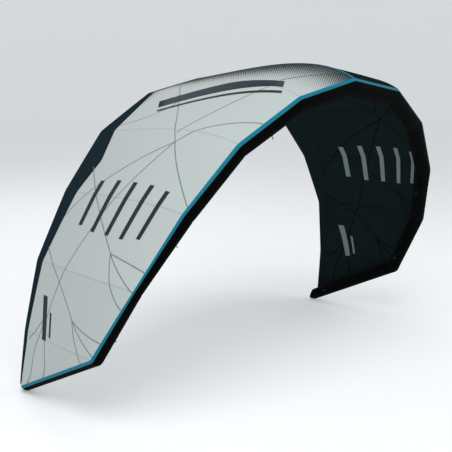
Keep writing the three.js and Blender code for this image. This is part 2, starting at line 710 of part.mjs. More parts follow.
function webbingLoop() {
  const shape = new THREE.Shape();
  shape.moveTo(-LOOP_FOOT, 0.5);
  shape.lineTo(LOOP_FOOT, 0.5);
  shape.lineTo(LOOP_FOOT, 2.5);
  shape.lineTo(LOOP_RADIUS, 2.5);
  shape.lineTo(LOOP_RADIUS, LOOP_HEIGHT);
  shape.absarc(0, LOOP_HEIGHT, LOOP_RADIUS, 0, Math.PI);
  shape.lineTo(-LOOP_RADIUS, 2.5);
  shape.lineTo(-LOOP_FOOT, 2.5);
  shape.closePath();
  shape.holes.push(new THREE.Path().absarc(0, LOOP_HEIGHT, LOOP_BORE, 0, 2 * Math.PI));
  const options = { depth: LOOP_WIDTH, bevelEnabled: false, curveSegments: 10 };
  const strap = new THREE.ExtrudeGeometry(shape, options);
  return join(strap.rotateX(Math.PI / 2).translate(0, LOOP_WIDTH / 2, 0));
}

// A cord ring through the loop's hole, which turns about Y, and the knot that gathers its two legs.
function pigtail() {
  const beside = LOOP_WIDTH / 2 + 2 * CORD_RADIUS;
  const half = [
    vector(0, LOOP_WIDTH / 2, 0),
    vector(0, beside, 4),
    vector(0, beside - 2, 12),
    vector(0, CORD_RADIUS + 1, KNOT_START),
    vector(0, CORD_RADIUS, KNOT_START + 4),
  ];
  const other = half.map((p) => p.clone().multiply(vector(1, -1, 1))).reverse();
  const path = new THREE.CatmullRomCurve3([...half, ...other], true);
  const cord = new THREE.TubeGeometry(path, 28, CORD_RADIUS, 6, true);
  return join(cord, cylinder(KNOT_RADIUS, KNOT_START, KNOT_END, 16));
}

function addAnchors() {
  for (const { name, segment, share, angle } of ANCHORS) {
    const at = edgeSeat(segment, share, angle);
    const pivot = at.clone().multiply(new THREE.Matrix4().makeTranslation(0, 0, LOOP_HEIGHT));
    addMesh(`anchor_${name}_right`, webbingLoop(), 'webbing').applyMatrix4(at);
    addMesh(`anchor_${name}_left`, mirrored(webbingLoop()), 'webbing').applyMatrix4(flipped(at));
    addMesh(`pigtail_${name}_right`, pigtail(), 'line').applyMatrix4(pivot);
    addMesh(`pigtail_${name}_left`, mirrored(pigtail()), 'line').applyMatrix4(flipped(pivot));
  }
}

addCasings();
addCanopy();
addPiping();
addCentreTape();
addBladdersAndStrut();
addFlaps();
addValve('inflate', INFLATE_VALVE, inflateSeat, true);
addValve('deflate', DEFLATE_VALVE, deflateSeat, false);
addValveDisc();
addHose();
addAnchors();

// Everything so far is measured from the leading edge's centre, and moves to the ground under the kite.
const bounds = new THREE.Box3().setFromObject(kite, true);
const shift = vector(0, -(bounds.min.y + bounds.max.y) / 2, -bounds.min.z);
for (const mesh of kite.children) mesh.position.add(shift);

export default kite;
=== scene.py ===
"""Looks for a nine-square-metre single-strut kitesurf kite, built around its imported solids.

The cloth is parametrised by a chart (u, t): u counts seams out from the centre line, 0 to 6. t runs from -1
at the piping, over the tube to 0 where the skin leaves it, and on to 1 at the trailing edge. Panel lines,
tapes and graphics are laid on the skin in that chart. Every piece is built on the right half, and those whose
name ends in left are mirrored. Lengths are in metres, and angles round a tube are in degrees from its
outward side.
"""

import math

import bpy
import numpy as np
from mathutils import Matrix, Vector


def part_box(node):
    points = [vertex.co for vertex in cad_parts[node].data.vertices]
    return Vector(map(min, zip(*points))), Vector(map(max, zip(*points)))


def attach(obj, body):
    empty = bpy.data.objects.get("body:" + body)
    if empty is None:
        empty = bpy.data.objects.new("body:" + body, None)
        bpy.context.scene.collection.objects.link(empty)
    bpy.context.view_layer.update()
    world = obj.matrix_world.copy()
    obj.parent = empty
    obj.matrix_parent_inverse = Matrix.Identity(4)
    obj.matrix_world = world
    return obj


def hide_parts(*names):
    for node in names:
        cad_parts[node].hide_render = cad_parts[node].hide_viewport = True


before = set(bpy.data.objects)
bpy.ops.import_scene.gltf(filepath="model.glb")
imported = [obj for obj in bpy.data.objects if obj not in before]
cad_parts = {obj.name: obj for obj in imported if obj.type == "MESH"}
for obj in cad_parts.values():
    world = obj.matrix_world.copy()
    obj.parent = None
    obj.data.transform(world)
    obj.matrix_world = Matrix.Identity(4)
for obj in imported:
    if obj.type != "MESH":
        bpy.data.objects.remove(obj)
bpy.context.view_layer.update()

# ---- the kite's dimensions

LEADING_EDGE = [  # length, dive and sweep of each straight segment
    (0.582, 10, 1),
    (0.574, 30, 9.5),
    (0.588, 49.5, 12),
    (0.618, 62, 20),
    (0.643, 79, 28.5),
    (1.080, 92.5, 62.5),
]
TIP = len(LEADING_EDGE)  # the last station, at the end of the tip tube
CORNER = TIP - 1  # the bend between the leading edge and the wing tip
CENTRE_TUBE_RADIUS, CORNER_TUBE_RADIUS, TIP_TUBE_RADIUS = 0.077, 0.057, 0.054
CENTRE_CHORD, CORNER_CHORD, TIP_CHORD = 1.650, 0.925, 0.024
CHORD_TAPER, CHORD_DIP = 2.05, 1  # the power of the chord's taper, and the slope of the chord lines
FRONT_EDGE = [-33, -33, -33, -26, -41, -8, 2]  # angle of the cloth's front edge on the tube, at each station
PIPING = [0.030, 0.029, 0.028, 0.022, 0.014, 0.025, 0.025]  # and the width of the piping along it
PIPING_OVERLAP = 1.2  # how far round the piping reaches over the cloth
LEAVING_ANGLE, LEAST_WRAP = -22, 5  # where the cloth leaves the tube, and its least wrap over it
CAMBER_CENTRE, CAMBER_TIP, CAMBER_REAR = 0.27, 0.16, 0.38
TRAILING_SLOPE, LIFT_OFF = 6, 0.03
CREASE = 0.03  # half width of a panel seam's rounding, in u
BILLOW = 0.005  # height of the swell in each panel
SKIN_HEIGHT = 0.0036  # the skin's outer face above the tube
CLOTH = 0.0016
CASING_WALL = 0.0022
STRUT_FRONT, STRUT_END = 0.075, 0.9  # along the chord
STRUT_FRONT_RADIUS, STRUT_REAR_RADIUS = 0.050, 0.026
RIDGE_SLOPE = 16  # slope of the cloth away from the centre line, which sets how far down the strut sits
BLADDER_GAP = 0.004
SIDES = ("right", "left")
CAD_FACETS = 20  # round each tube of the frame


def unit(v):
    return v / np.linalg.norm(v, axis=-1, keepdims=True)


def lerp(a, b, f):
    return a + (b - a) * f


def quadratic(a, b, c, f):
    return (1 - f) ** 2 * a + 2 * f * (1 - f) * b + f**2 * c


def cubic(a, b, c, d, f):
    return (1 - f) ** 3 * a + 3 * f * (1 - f) ** 2 * b + 3 * f * f * (1 - f) * c + f**3 * d


def smooth_step(a, b, x):
    f = np.clip((x - a) / (b - a), 0, 1)
    return f * f * (3 - 2 * f)


def turns(sides):
    return np.arange(sides) * 2 * math.pi / sides


def at_stations(u, values):
    """Interpolates values given at the stations."""
    return np.interp(u, range(TIP + 1), values)


def panel_of(u):
    return np.clip(np.floor(u).astype(int), 0, TIP - 1)


def lengths_along(points):
    return np.concatenate([[0], np.cumsum(np.linalg.norm(np.diff(points, axis=0), axis=1))])


def segment_direction(dive, sweep):
    d, s = math.radians(dive), math.radians(sweep)
    return np.array([math.cos(s) * math.cos(d), math.sin(s), -math.cos(s) * math.sin(d)])


def side_axes(along):
    """The rearward and the outward direction, square to a tube."""
    rear = unit(np.array([0, 1, 0]) - along * along[1])
    return rear, np.cross(along, rear)


class Station:
    """Where two segments of the leading edge meet."""

    def __init__(self, index, place, before, after):
        self.index, self.place, self.tubes = index, place, (before, after)
        self.along = unit(before + after)
        self.rear, self.outward = side_axes(self.along)
        bend = after - before
        length = np.linalg.norm(bend)
        self.bend = bend / length if length > 1e-6 else bend
        half_turn = math.acos(min(1.0, float(before @ after))) / 2
        self.stretch = 1 / math.cos(half_turn) - 1
        if index <= CORNER:
            self.radius = lerp(CENTRE_TUBE_RADIUS, CORNER_TUBE_RADIUS, index / CORNER)
            self.chord = CENTRE_CHORD - (CENTRE_CHORD - CORNER_CHORD) * (index / CORNER) ** CHORD_TAPER
        else:
            self.radius = TIP_TUBE_RADIUS
        self.leaving = max(LEAVING_ANGLE, FRONT_EDGE[index] + LEAST_WRAP)

    def ring(self, degrees, gap=0.0):
        """Points of the mitred ring at angles round it, a gap above the tube."""
        a = np.radians(degrees)[..., None]
        radius = np.broadcast_to(self.radius + gap, np.shape(degrees))[..., None]
        offset = (np.cos(a) * self.outward + np.sin(a) * self.rear) * radius
        offset = offset + self.bend * (self.stretch * (offset @ self.bend))[..., None]
        return self.place + offset


def make_stations():
    directions = [segment_direction(dive, sweep) for _, dive, sweep in LEADING_EDGE]
    stations, place = [], np.zeros(3)
    for i in range(TIP + 1):
        before = directions[i - 1] if i else directions[0] * [1, -1, -1]
        after = directions[i] if i < TIP else before
        stations.append(Station(i, place, before, after))
        if i < TIP:
            place = place + directions[i] * LEADING_EDGE[i][0]
    return stations


def move_to_frame(stations):
    """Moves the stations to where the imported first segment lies."""
    facets = np.arange(CAD_FACETS) * 360 / CAD_FACETS
    points = np.concatenate([s.ring(facets) for s in stations[:2]])
    low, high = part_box("edge_casing_1_right")
    shift = (np.array(low) + np.array(high) - points.min(0) - points.max(0)) / 2
    for station in stations:
        station.place = station.place + shift * [0, 1, 1]
    return stations


STATIONS = move_to_frame(make_stations())


class Section:
    """The skin's section at a station: an arc on the tube, then one Bezier curve to the trailing edge."""

    def __init__(self, station):
        leave = station.ring(np.array(station.leaving), SKIN_HEIGHT)
        if station.index == TIP:
            quarter_on = station.ring(np.array(station.leaving + 90))
            trail = leave + unit(quarter_on - station.place) * TIP_CHORD
        else:
            dip = math.radians(CHORD_DIP)
            trail = station.place + np.array([0, math.cos(dip), -math.sin(dip)]) * station.chord
        length = np.linalg.norm(trail - leave)
        camber = lerp(CAMBER_CENTRE, CAMBER_TIP, station.index / TIP)
        back = (trail - leave) / length
        self.out = unit(station.outward - back * (station.outward @ back))
        rises = []
        for direction in station.tubes:
            normal = leave - station.place
            normal = unit(normal - direction * (normal @ direction))
            rises.append((LIFT_OFF - back @ normal) / (self.out @ normal))
        leaving = unit(back + self.out * max(rises))
        arriving = unit(back - self.out * math.tan(math.radians(TRAILING_SLOPE)))
        handles = [leave + leaving * camber * length, trail - arriving * CAMBER_REAR * length]
        self.points = [leave, *handles, trail]

    def at(self, t):
        return cubic(*self.points, np.clip(np.asarray(t, float), 0, None)[..., None])


SECTIONS = [Section(s) for s in STATIONS]


def across(curves, u):
    """Points at u along a row of curves, straight between them and rounded at each one."""

    def straight(v):
        sign = np.where(v < 0, -1.0, 1.0)
        v = np.abs(v)
        i, n = panel_of(v), np.arange(len(v))
        point = lerp(curves[i, n], curves[i + 1, n], (v - i)[:, None])
        point[:, 0] *= sign
        return point

    nearest = np.round(u)
    away = u - nearest
    rounded = (np.abs(away) < CREASE) & (nearest < TIP)
    before, after = straight(nearest - CREASE), straight(np.minimum(nearest + CREASE, TIP))
    bent = quadratic(before, straight(nearest), after, ((away + CREASE) / (2 * CREASE))[:, None])
    return np.where(rounded[:, None], bent, straight(u))


def on_tube(u, degrees, gap):
    """Points a gap above the tube, at angles round it."""
    return across(np.stack([s.ring(degrees, gap) for s in STATIONS]), u)


def skin(u, t):
    """Outer face of the right half's cloth. u and t are arrays of one shape."""
    u, t = np.broadcast_arrays(np.asarray(u, float), np.asarray(t, float))
    shape = u.shape
    u, t = u.ravel(), t.ravel()
    angle = lerp(at_stations(u, FRONT_EDGE), at_stations(u, [s.leaving for s in STATIONS]), t + 1)
    wrapped = on_tube(u, np.minimum(angle, 90), SKIN_HEIGHT)
    free = across(np.stack([s.at(t) for s in SECTIONS]), u)
    point = np.where((t < 0)[:, None], wrapped, free)
    i = panel_of(u)
    f = u - i
    outs = np.stack([s.out for s in SECTIONS])
    swell = BILLOW * 4 * f * (1 - f) * smooth_step(0.02, 0.35, t) * (1 - 0.7 * smooth_step(0.75, 1.0, t))
    point = point + lerp(outs[i], outs[i + 1], f[:, None]) * swell[:, None]
    return point.reshape(shape + (3,))


def skin_frame(u, t, step=2e-3):
    """The skin's points and its outward unit normals."""
    u, t = np.asarray(u, float), np.asarray(t, float)
    along_u = skin(np.clip(u + step, 0, TIP), t) - skin(np.clip(u - step, 0, TIP), t)
    along_t = skin(u, np.clip(t + step, -1, 1)) - skin(u, np.clip(t - step, -1, 1))
    return skin(u, t), unit(np.cross(along_u, along_t))


# ---- meshes


def add_object(name, data):
    obj = bpy.data.objects.new(name, data)
    bpy.context.scene.collection.objects.link(obj)
    return obj


def make_object(name, points, faces, material):
    mesh = bpy.data.meshes.new(name)
    points = [tuple(p) for p in np.asarray(points).reshape(-1, 3)]
    mesh.from_pydata(points, [], [tuple(int(k) for k in f) for f in faces])
    mesh.validate()
    mesh.polygons.foreach_set("use_smooth", [True] * len(mesh.polygons))
    mesh.materials.append(material)
    return add_object(name, mesh)


def claim(obj, name, body="kite", nodes=()):
    """Puts a piece on its body. It replaces the nodes given, or the one of its own name."""
    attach(obj, body)
    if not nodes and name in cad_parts:
        nodes = [name]
    if nodes:
        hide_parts(*nodes)
    return obj


def grid_faces(rows, columns, start=0, flip=False, wrap=False):
    faces = []
    for r in range(rows - 1):
        for c in range(columns if wrap else columns - 1):
            a = start + r * columns + c
            b = start + r * columns + (c + 1) % columns
            quad = [a, b, b + columns, a + columns]
            faces.append(quad[::-1] if flip else quad)
    return faces


def end_fans(count, sides):
    """Faces that close both ends of a tube, from the two middle points that follow its own points."""
    faces = []
    for c in range(sides):
        d = (c + 1) % sides
        faces += [[count, d, c], [count + 1, count - sides + c, count - sides + d]]
    return faces


def corner_points(obj):
    """The vertices, and the index of the vertex at each face corner."""
    co, index = np.zeros((len(obj.data.vertices), 3)), np.zeros(len(obj.data.loops), int)
    obj.data.vertices.foreach_get("co", co.ravel())
    obj.data.loops.foreach_get("vertex_index", index)
    return co, index


def corners_as_built(obj, name):
    """Places of the face corners, before any mirroring."""
    co, index = corner_points(obj)
    return mirrored(co, name)[index]


def face_out(obj):
    """Turns every face outwards if the mesh's volume came out negative."""
    co, _ = corner_points(obj)
    volume = 0.0
    for polygon in obj.data.polygons:
        v = co[list(polygon.vertices)]
        volume += sum(float(v[0] @ np.cross(v[k], v[k + 1])) for k in range(1, len(v) - 1))
    if volume < 0:
        obj.data.flip_normals()
    return obj


def mirrored(points, name):
    """Points for a piece of that name: left ones are mirrored."""
    return np.asarray(points) * [-1 if name.endswith("left") else 1, 1, 1]


def tube_object(name, loops, look, wall=None, body="kite"):
    """A closed tube through loops of points. With inner loops given as wall, it is hollow and open-ended."""
    rows, columns = loops.shape[:2]
    n = rows * columns
    faces = grid_faces(rows, columns, wrap=True)
    if wall is None:
        points = [loops.reshape(-1, 3), loops[0].mean(0)[None], loops[-1].mean(0)[None]]
        faces += end_fans(n, columns)
    else:
        points = [loops.reshape(-1, 3), wall.reshape(-1, 3)]
        faces += grid_faces(rows, columns, n, flip=True, wrap=True)
        for c in range(columns):
            d = (c + 1) % columns
            last_c, last_d = n - columns + c, n - columns + d
            faces += [[c, d, d + n, c + n], [last_d, last_c, last_c + n, last_d + n]]
    obj = face_out(make_object(name, mirrored(np.concatenate(points), name), faces, MATERIALS[look]))
    return claim(obj, name, body)


def set_uv(obj, uv):
    """Sets UVs from one pair for each face corner."""
    layer = obj.data.uv_layers.get("UVMap") or obj.data.uv_layers.new(name="UVMap")
    layer.data.foreach_set("uv", np.asarray(uv, np.float32).ravel())


def pair_up(a, b):
    """UV pairs from two arrays that broadcast together."""
    return np.stack(np.broadcast_arrays(a, b), -1)


# ---- materials


def srgb(r, g, b):
    def linear(c):
        c /= 255
        return c / 12.92 if c <= 0.04045 else ((c + 0.055) / 1.055) ** 2.4

    return (linear(r), linear(g), linear(b), 1)


def shade(colour, factor, lift=0.0):
    return tuple(min(1, c * factor + lift) for c in colour[:3]) + (1,)


class Nodes:
    """Short names for building a material's node tree."""

    def __init__(self, name):
        self.material = bpy.data.materials.new(name)
        self.material.use_nodes = True
        self.tree = self.material.node_tree
        self.tree.nodes.clear()
        self.bsdf = self.add("BsdfPrincipled")
        self.add("OutputMaterial", {0: self.bsdf.outputs[0]})
        self.place = self.add("TexCoord").outputs["Object"]

    def add(self, kind, inputs=(), **values):
        node = self.tree.nodes.new("ShaderNode" + kind)
        for key, value in values.items():
            setattr(node, key, value)
        self.put(node, inputs)
        return node

    def put(self, node, inputs):
        """Sets a node's sockets to values, or links them to other nodes' outputs."""
        for socket, value in dict(inputs).items():
            if hasattr(value, "is_output"):
                self.tree.links.new(value, node.inputs[socket])
            else:
                node.inputs[socket].default_value = value

    def math(self, operation, a, b=0.0):
        return self.add("Math", {0: a, 1: b}, operation=operation).outputs[0]

    def times(self, a, b):
        return self.math("MULTIPLY", a, b)

    def plus(self, a, b):
        return self.math("ADD", a, b)

    def mix(self, factor, a, b):
        return self.add("Mix", {0: factor, 6: a, 7: b}, data_type="RGBA").outputs[2]

    def ramp(self, value, low, high):
        inputs = {"Value": value, "From Min": low, "From Max": high}
        return self.add("MapRange", inputs, interpolation_type="SMOOTHSTEP").outputs[0]

    def uv(self):
        return self.add("SeparateXYZ", {0: self.add("UVMap", uv_map="UVMap").outputs[0]}).outputs[:2]

    def noise(self, scale, detail=2.0, stretch=None):
        vector = self.place
        if stretch:
            vector = self.add("Mapping", {0: vector, "Scale": stretch}).outputs[0]
        return self.add("TexNoise", {"Vector": vector, "Scale": scale, "Detail": detail}).outputs[0]

    def wave(self, value, pitch):
        """A sine along a coordinate in metres."""
        return self.math("SINE", self.times(value, 2 * math.pi / pitch))

    def stripes(self, value, pitch, sharp=0.5):
        """Soft stripes from 0 to 1 along a coordinate in metres."""
        return self.ramp(self.wave(value, pitch), sharp - 0.5, 1.0)

    def bump(self, height, strength, distance, normal=None):
        inputs = {"Height": height, "Strength": strength, "Distance": distance}
        if normal is not None:
            inputs["Normal"] = normal
        return self.add("Bump", inputs).outputs[0]

    def finish(self, colour, roughness, normal, specular, sheen=0.0, **others):
        self.put(self.bsdf, {"Base Color": colour, "Roughness": roughness, "Normal": normal})
        self.put(self.bsdf, {"Specular IOR Level": specular, "Sheen Weight": sheen, "Sheen Roughness": 0.4})
        self.put(self.bsdf, {key.replace("_", " "): value for key, value in others.items()})
        return self.material


RIPSTOP_GRID, RIPSTOP_WEAVE, PRINT_PITCH = 0.006, 0.0009, 0.019


def ripstop(name, colour, roughness=0.6, specular=0.05, sheen=0.02, print_colour=None):
    """Coated ripstop: a grid of thicker yarns over a fine weave, creases, and soft shade changes.
    With a print colour, a dotted print fades in where the mesh attribute named print rises."""
    n = Nodes(name)
    u, v = n.uv()
    grid = n.math("MAXIMUM", n.stripes(u, RIPSTOP_GRID, 1.25), n.stripes(v, RIPSTOP_GRID, 1.25))
    weave = n.times(n.stripes(u, RIPSTOP_WEAVE), n.stripes(v, RIPSTOP_WEAVE))
    tone = n.mix(n.times(n.noise(2.2, 3), 0.1), colour, shade(colour, 0.8))
    tone = n.mix(n.times(grid, 0.12), tone, shade(colour, 1.35))
    if print_colour is not None:
        amount = n.add("Attribute", attribute_name="print").outputs["Fac"]
        level = n.plus(n.times(n.times(n.wave(u, PRINT_PITCH), n.wave(v, PRINT_PITCH)), 0.42), 0.5)
        dots = n.ramp(n.math("SUBTRACT", n.times(amount, 1.15), level), -0.14, 0.14)
        tone = n.mix(dots, tone, print_colour)
    rough = n.plus(roughness, n.times(n.noise(35, 2), 0.12))
    creases = n.bump(n.noise(9, 4, (1.0, 0.25, 1.0)), 0.25, 0.004)
    normal = n.bump(n.plus(n.times(grid, 0.6), n.times(weave, 0.3)), 0.2, 0.0003, creases)
    return n.finish(tone, rough, normal, specular, sheen)


def dacron(name, colour):
    """Heavy plain-weave polyester of the tubes."""
    n = Nodes(name)
    u, v = n.uv()
    weave = n.plus(n.times(n.stripes(u, 0.0014), n.stripes(v, 0.0014)), n.times(n.noise(300, 2), 0.3))
    scuffs = n.ramp(n.noise(60, 5, (1.0, 0.2, 1.0)), 0.66, 0.8)
    tone = n.mix(n.times(n.noise(5, 4), 0.5), colour, shade(colour, 0.55))
    tone = n.mix(n.times(scuffs, 0.02), tone, (0.3, 0.3, 0.3, 1))
    rough = n.plus(0.75, n.times(scuffs, 0.15))
    dents = n.bump(n.noise(14, 3), 0.2, 0.004)
    return n.finish(tone, rough, n.bump(weave, 0.35, 0.0004, dents), 0.03)


def taped(name, colour, rows=None, roughness=0.55, thread=None, specular=0.12):
    """Tape or webbing laid along a path: UVs run along it and across it. Two rows of stitches, if any, lie
    at the distance called rows from its middle."""
    n = Nodes(name)
    u, v = n.uv()
    tone = n.mix(n.times(n.noise(12, 3), 0.35), colour, shade(colour, 0.7))
    height = n.times(n.stripes(u, 0.0016), 0.5)
    if rows:
        off_row = n.math("ABSOLUTE", n.math("SUBTRACT", n.math("ABSOLUTE", v), rows))
        near = n.math("LESS_THAN", off_row, 0.0007)
        stitch = n.times(near, n.math("GREATER_THAN", n.wave(u, 0.0045), -0.3))
        tone = n.mix(stitch, tone, thread or shade(colour, 1.8, 0.02))
        height = n.plus(height, stitch)
    return n.finish(tone, roughness, n.bump(height, 0.4, 0.0005), specular)


def printed(name, colour):
    """Ink on cloth: takes the weave's bump and a slightly broken tone."""
    n = Nodes(name)
    tone = n.mix(n.times(n.noise(20, 3), 0.3), colour, shade(colour, 1.25, 0.004))
    return n.finish(tone, 0.6, n.bump(n.noise(400, 1), 0.15, 0.0002), 0.1)


def moulded(name, colour, roughness=0.42):
    """Moulded plastic: fine grain, worn patches, and edges rounded by a bevel in the shading."""
    n = Nodes(name)
    wear = n.ramp(n.noise(90, 4), 0.6, 0.8)
    tone = n.mix(n.times(wear, 0.18), colour, (0.3, 0.31, 0.32, 1))
    bevel = n.add("Bevel", {"Radius": 0.0006}).outputs[0]
    normal = n.bump(n.noise(900, 2), 0.12, 0.0002, bevel)
    return n.finish(tone, n.plus(roughness, n.times(wear, 0.2)), normal, 0.45)


def film(name, colour):
    """Translucent bladder film with soft wrinkles."""
    n = Nodes(name)
    tone = n.mix(n.noise(6, 3), colour, shade(colour, 0.85))
    rough, wrinkles = n.plus(0.25, n.times(n.noise(30, 2), 0.2)), n.bump(n.noise(22, 4), 0.3, 0.002)
    return n.finish(tone, rough, wrinkles, 0.5, Transmission_Weight=0.35, IOR=1.3)


def studio_paint(name, colour):
    n = Nodes(name)
    tone = n.mix(n.times(n.noise(3, 2), 0.02), colour, (0.9, 0.9, 0.9, 1))
    grain, white = n.bump(n.noise(200, 1), 0.01, 0.0002), (1, 1, 1, 1)
    return n.finish(tone, 0.8, grain, 0.1, Emission_Color=white, Emission_Strength=0.20)


LIGHT_CLOTH, DARK_CLOTH, BAND_CLOTH = srgb(182, 190, 187), srgb(23, 33, 34), srgb(28, 41, 48)
PRINT_DARK, TEAL, TEAL_THREAD = srgb(26, 38, 43), srgb(5, 112, 136), srgb(30, 150, 170)
PALE_SEAM, PALE_THREAD = srgb(177, 186, 183), srgb(160, 170, 168)
DARK_SEAM, DARK_THREAD = srgb(14, 22, 24), srgb(30, 42, 46)
MATERIALS = {
    "light": ripstop("canopy_light_cloth", LIGHT_CLOTH, print_colour=PRINT_DARK),
    "dark": ripstop("canopy_dark_cloth", DARK_CLOTH, 0.62, specular=0.0, sheen=0.0),
    "band": ripstop("trailing_band_cloth", BAND_CLOTH, 0.65, specular=0.0, sheen=0.0),
    "casing": dacron("casing_cloth", srgb(3, 4, 4)),
    "piping": taped("piping_tape", TEAL, 0.0054, thread=TEAL_THREAD),
    "centre_tape": taped("centre_seam_tape_cloth", TEAL, 0.0048, thread=TEAL_THREAD),
    "frame_light": taped("load_tape_on_light", srgb(122, 133, 133), roughness=0.5),
    "frame_dark": taped("load_tape_on_dark", srgb(10, 16, 18), specular=0.0),
    "seam_light": taped("seam_on_light", PALE_SEAM, 0.003, thread=PALE_THREAD),
    "seam_dark": taped("seam_on_dark", DARK_SEAM, 0.003, thread=DARK_THREAD, specular=0.0),
    "ink_dark": printed("dark_print", srgb(36, 48, 56)),
    "ink_light": printed("light_print", srgb(112, 124, 124)),
    "webbing": taped("webbing_strap", srgb(16, 18, 20), 0.0036),
    "cord": taped("braided_cord", srgb(40, 44, 48)),
    "plastic": moulded("moulded_black_plastic", srgb(28, 30, 32)),
    "cap": moulded("moulded_grey_plastic", srgb(70, 76, 80), 0.5),
    "hose": moulded("hose_rubber", srgb(38, 42, 45), 0.55),
    "film": film("bladder_film", srgb(222, 226, 218)),
}

# ---- canopy

# Where the trailing-edge band begins, as (u, t)
BAND_LINE = [(0, 0.978), (1, 0.962), (2, 0.885), (2.5, 0.835), (3, 0.885), (4, 0.93), (5, 0.945)]
BAND_LINE += [(5.6, 0.91), (5.8, 0.865), (5.9, 0.79), (6, 0.5)]
EDGE_T = 0.9985  # the canopy cloth stops inside the band's fold
CHORD_T = np.concatenate([[-1, -0.75, -0.5, -0.25], np.linspace(0, EDGE_T, 61)])
CENTRE_GAP = 0.0002  # between the halves at the centre seam
BAND_LIFT, BAND_STEPS = 0.0006, 9
CLOTH_LOOK = {"right": "dark", "left": "light"}


def span_columns():
    """Values of u across the span, dense at the seams."""
    near = CREASE * np.array([0, 0.35, 0.7, 1])
    panel = np.concatenate([near, np.linspace(CREASE, 1 - CREASE, 18)[1:-1], 1 - near[:0:-1]])
    return np.append((np.arange(TIP)[:, None] + panel).ravel(), TIP)


COLUMNS = span_columns()


def band_start(u):
    return np.interp(u, *zip(*BAND_LINE))


def panel_axes():
    """In-plane axes of each panel, across the span and along the chord, for the cloth's grain."""
    axes = []
    for i in range(TIP):
        ends = np.array([i + 0.1, i + 0.9])
        lead, trail = skin(ends, 0.0), skin(ends, 1.0)
        chord = unit(trail.mean(0) - lead.mean(0))
        span = (lead[1] - lead[0]) + (trail[1] - trail[0])
        axes.append((unit(span - chord * (span @ chord)), chord))
    return np.array(axes)


PANEL_AXES = panel_axes()


def cloth_uv(obj, name, face_u):
    """UVs in metres along each panel's own grain. face_u gives the u of each face's middle."""
    faces = np.repeat(np.arange(len(obj.data.polygons)), [len(p.vertices) for p in obj.data.polygons])
    axes = PANEL_AXES[panel_of(face_u[faces])]
    set_uv(obj, (corners_as_built(obj, name)[:, None] * axes).sum(2))


def print_amount(u, t):
    """How much of the dotted print shows: it fades from the centre line, and reaches further at the rear."""
    at_centre = lerp(0.79, 1.02, smooth_step(0.1, 0.55, t))
    rear = 0.6 * smooth_step(0.86, 1.0, t) * (1 - smooth_step(1.0, 1.6, u))
    return np.clip(np.maximum(at_centre - 0.9 * u, rear), 0, 1)


class Pieces:
    """Collects thin closed sheets and tubes, with UVs in metres, into one object."""

    def __init__(self):
        self.points, self.faces, self.uv, self.count = [], [], [], 0

    def add(self, points, faces, uv):
        self.points.append(points)
        self.faces += [[k + self.count for k in face] for face in faces]
        self.uv.append(uv)
        self.count += len(points)

    def build(self, name, look, slot, body="kite", nodes=()):
        obj = make_object(name, mirrored(np.concatenate(self.points), name), self.faces, MATERIALS[look])
        _, index = corner_points(obj)
        set_uv(obj, np.concatenate(self.uv)[index])
        return claim(face_out(obj), name, body, nodes)

    def sheet(self, outer, inner, uv):
        rows, columns = outer.shape[:2]
        n = rows * columns
        faces = grid_faces(rows, columns) + grid_faces(rows, columns, n, flip=True)
        ids = np.arange(n).reshape(rows, columns)
        border = np.concatenate([ids[:, 0], ids[-1, 1:], ids[-2::-1, -1], ids[0, -2:0:-1]])
        faces += [[b, a, a + n, b + n] for a, b in zip(border, np.roll(border, -1))]
        points = np.concatenate([outer.reshape(-1, 3), inner.reshape(-1, 3)])
        self.add(points, faces, np.concatenate([uv.reshape(-1, 2)] * 2))

    def strip(self, path, width, face, lift=0.0004, thickness=0.0006):
        """A thin strip centred on a chart path, on the outer face (1) or the inner face (-1) of the cloth."""
        point, normal = skin_frame(path[:, 0], path[:, 1])
        sideways = unit(np.cross(normal, unit(np.gradient(point, axis=0))))[:, None]
        base = (point + normal * (lift if face > 0 else -CLOTH - lift))[:, None]
        offsets = np.array([-0.5, -0.3, 0.3, 0.5]) * width
        crown = np.array([-0.35, 0.0, 0.0, -0.35]) * thickness
        up = (normal * face)[:, None]
        outer = base + sideways * offsets[:, None] + up * crown[:, None]
        inner = base - up * thickness + sideways * offsets[:, None]
        self.sheet(outer, inner, pair_up(lengths_along(point)[:, None], offsets))

    def patch(self, corners, face, lift=0.0017, thickness=0.0015, steps=(6, 24)):
        """A four-sided shape on the cloth. Corners are chart points in order round it."""
        a, b, c, d = np.array(corners, float)
        f = np.linspace(0, 1, steps[0] + 1)[:, None, None]
        g = np.linspace(0, 1, steps[1] + 1)[None, :, None]
        chart = lerp(lerp(a, b, f), lerp(d, c, f), g)
        point, normal = skin_frame(chart[..., 0], chart[..., 1])
        base = point + normal * (lift if face > 0 else -CLOTH - lift)
        self.sheet(base, base - normal * face * thickness, pair_up(g[..., 0] * 0.1, f[..., 0] * 0.1))

    def tube(self, loops, closed=False):
        rows, sides = loops.shape[:2]
        centre = loops.mean(1)
        along = lengths_along(centre)
        uv = pair_up(along[:, None], np.arange(sides) * 0.0008).reshape(-1, 2)
        faces = grid_faces(rows, sides, wrap=True)
        points = loops.reshape(-1, 3)
        if closed:
            last = (rows - 1) * sides
            faces += [[last + c, last + (c + 1) % sides, (c + 1) % sides, c] for c in range(sides)]
        else:
            points = np.concatenate([points, centre[:1], centre[-1:]])
            faces += end_fans(rows * sides, sides)
            uv = np.concatenate([uv, [[0, 0], [along[-1], 0]]])
        self.add(points, faces, uv)


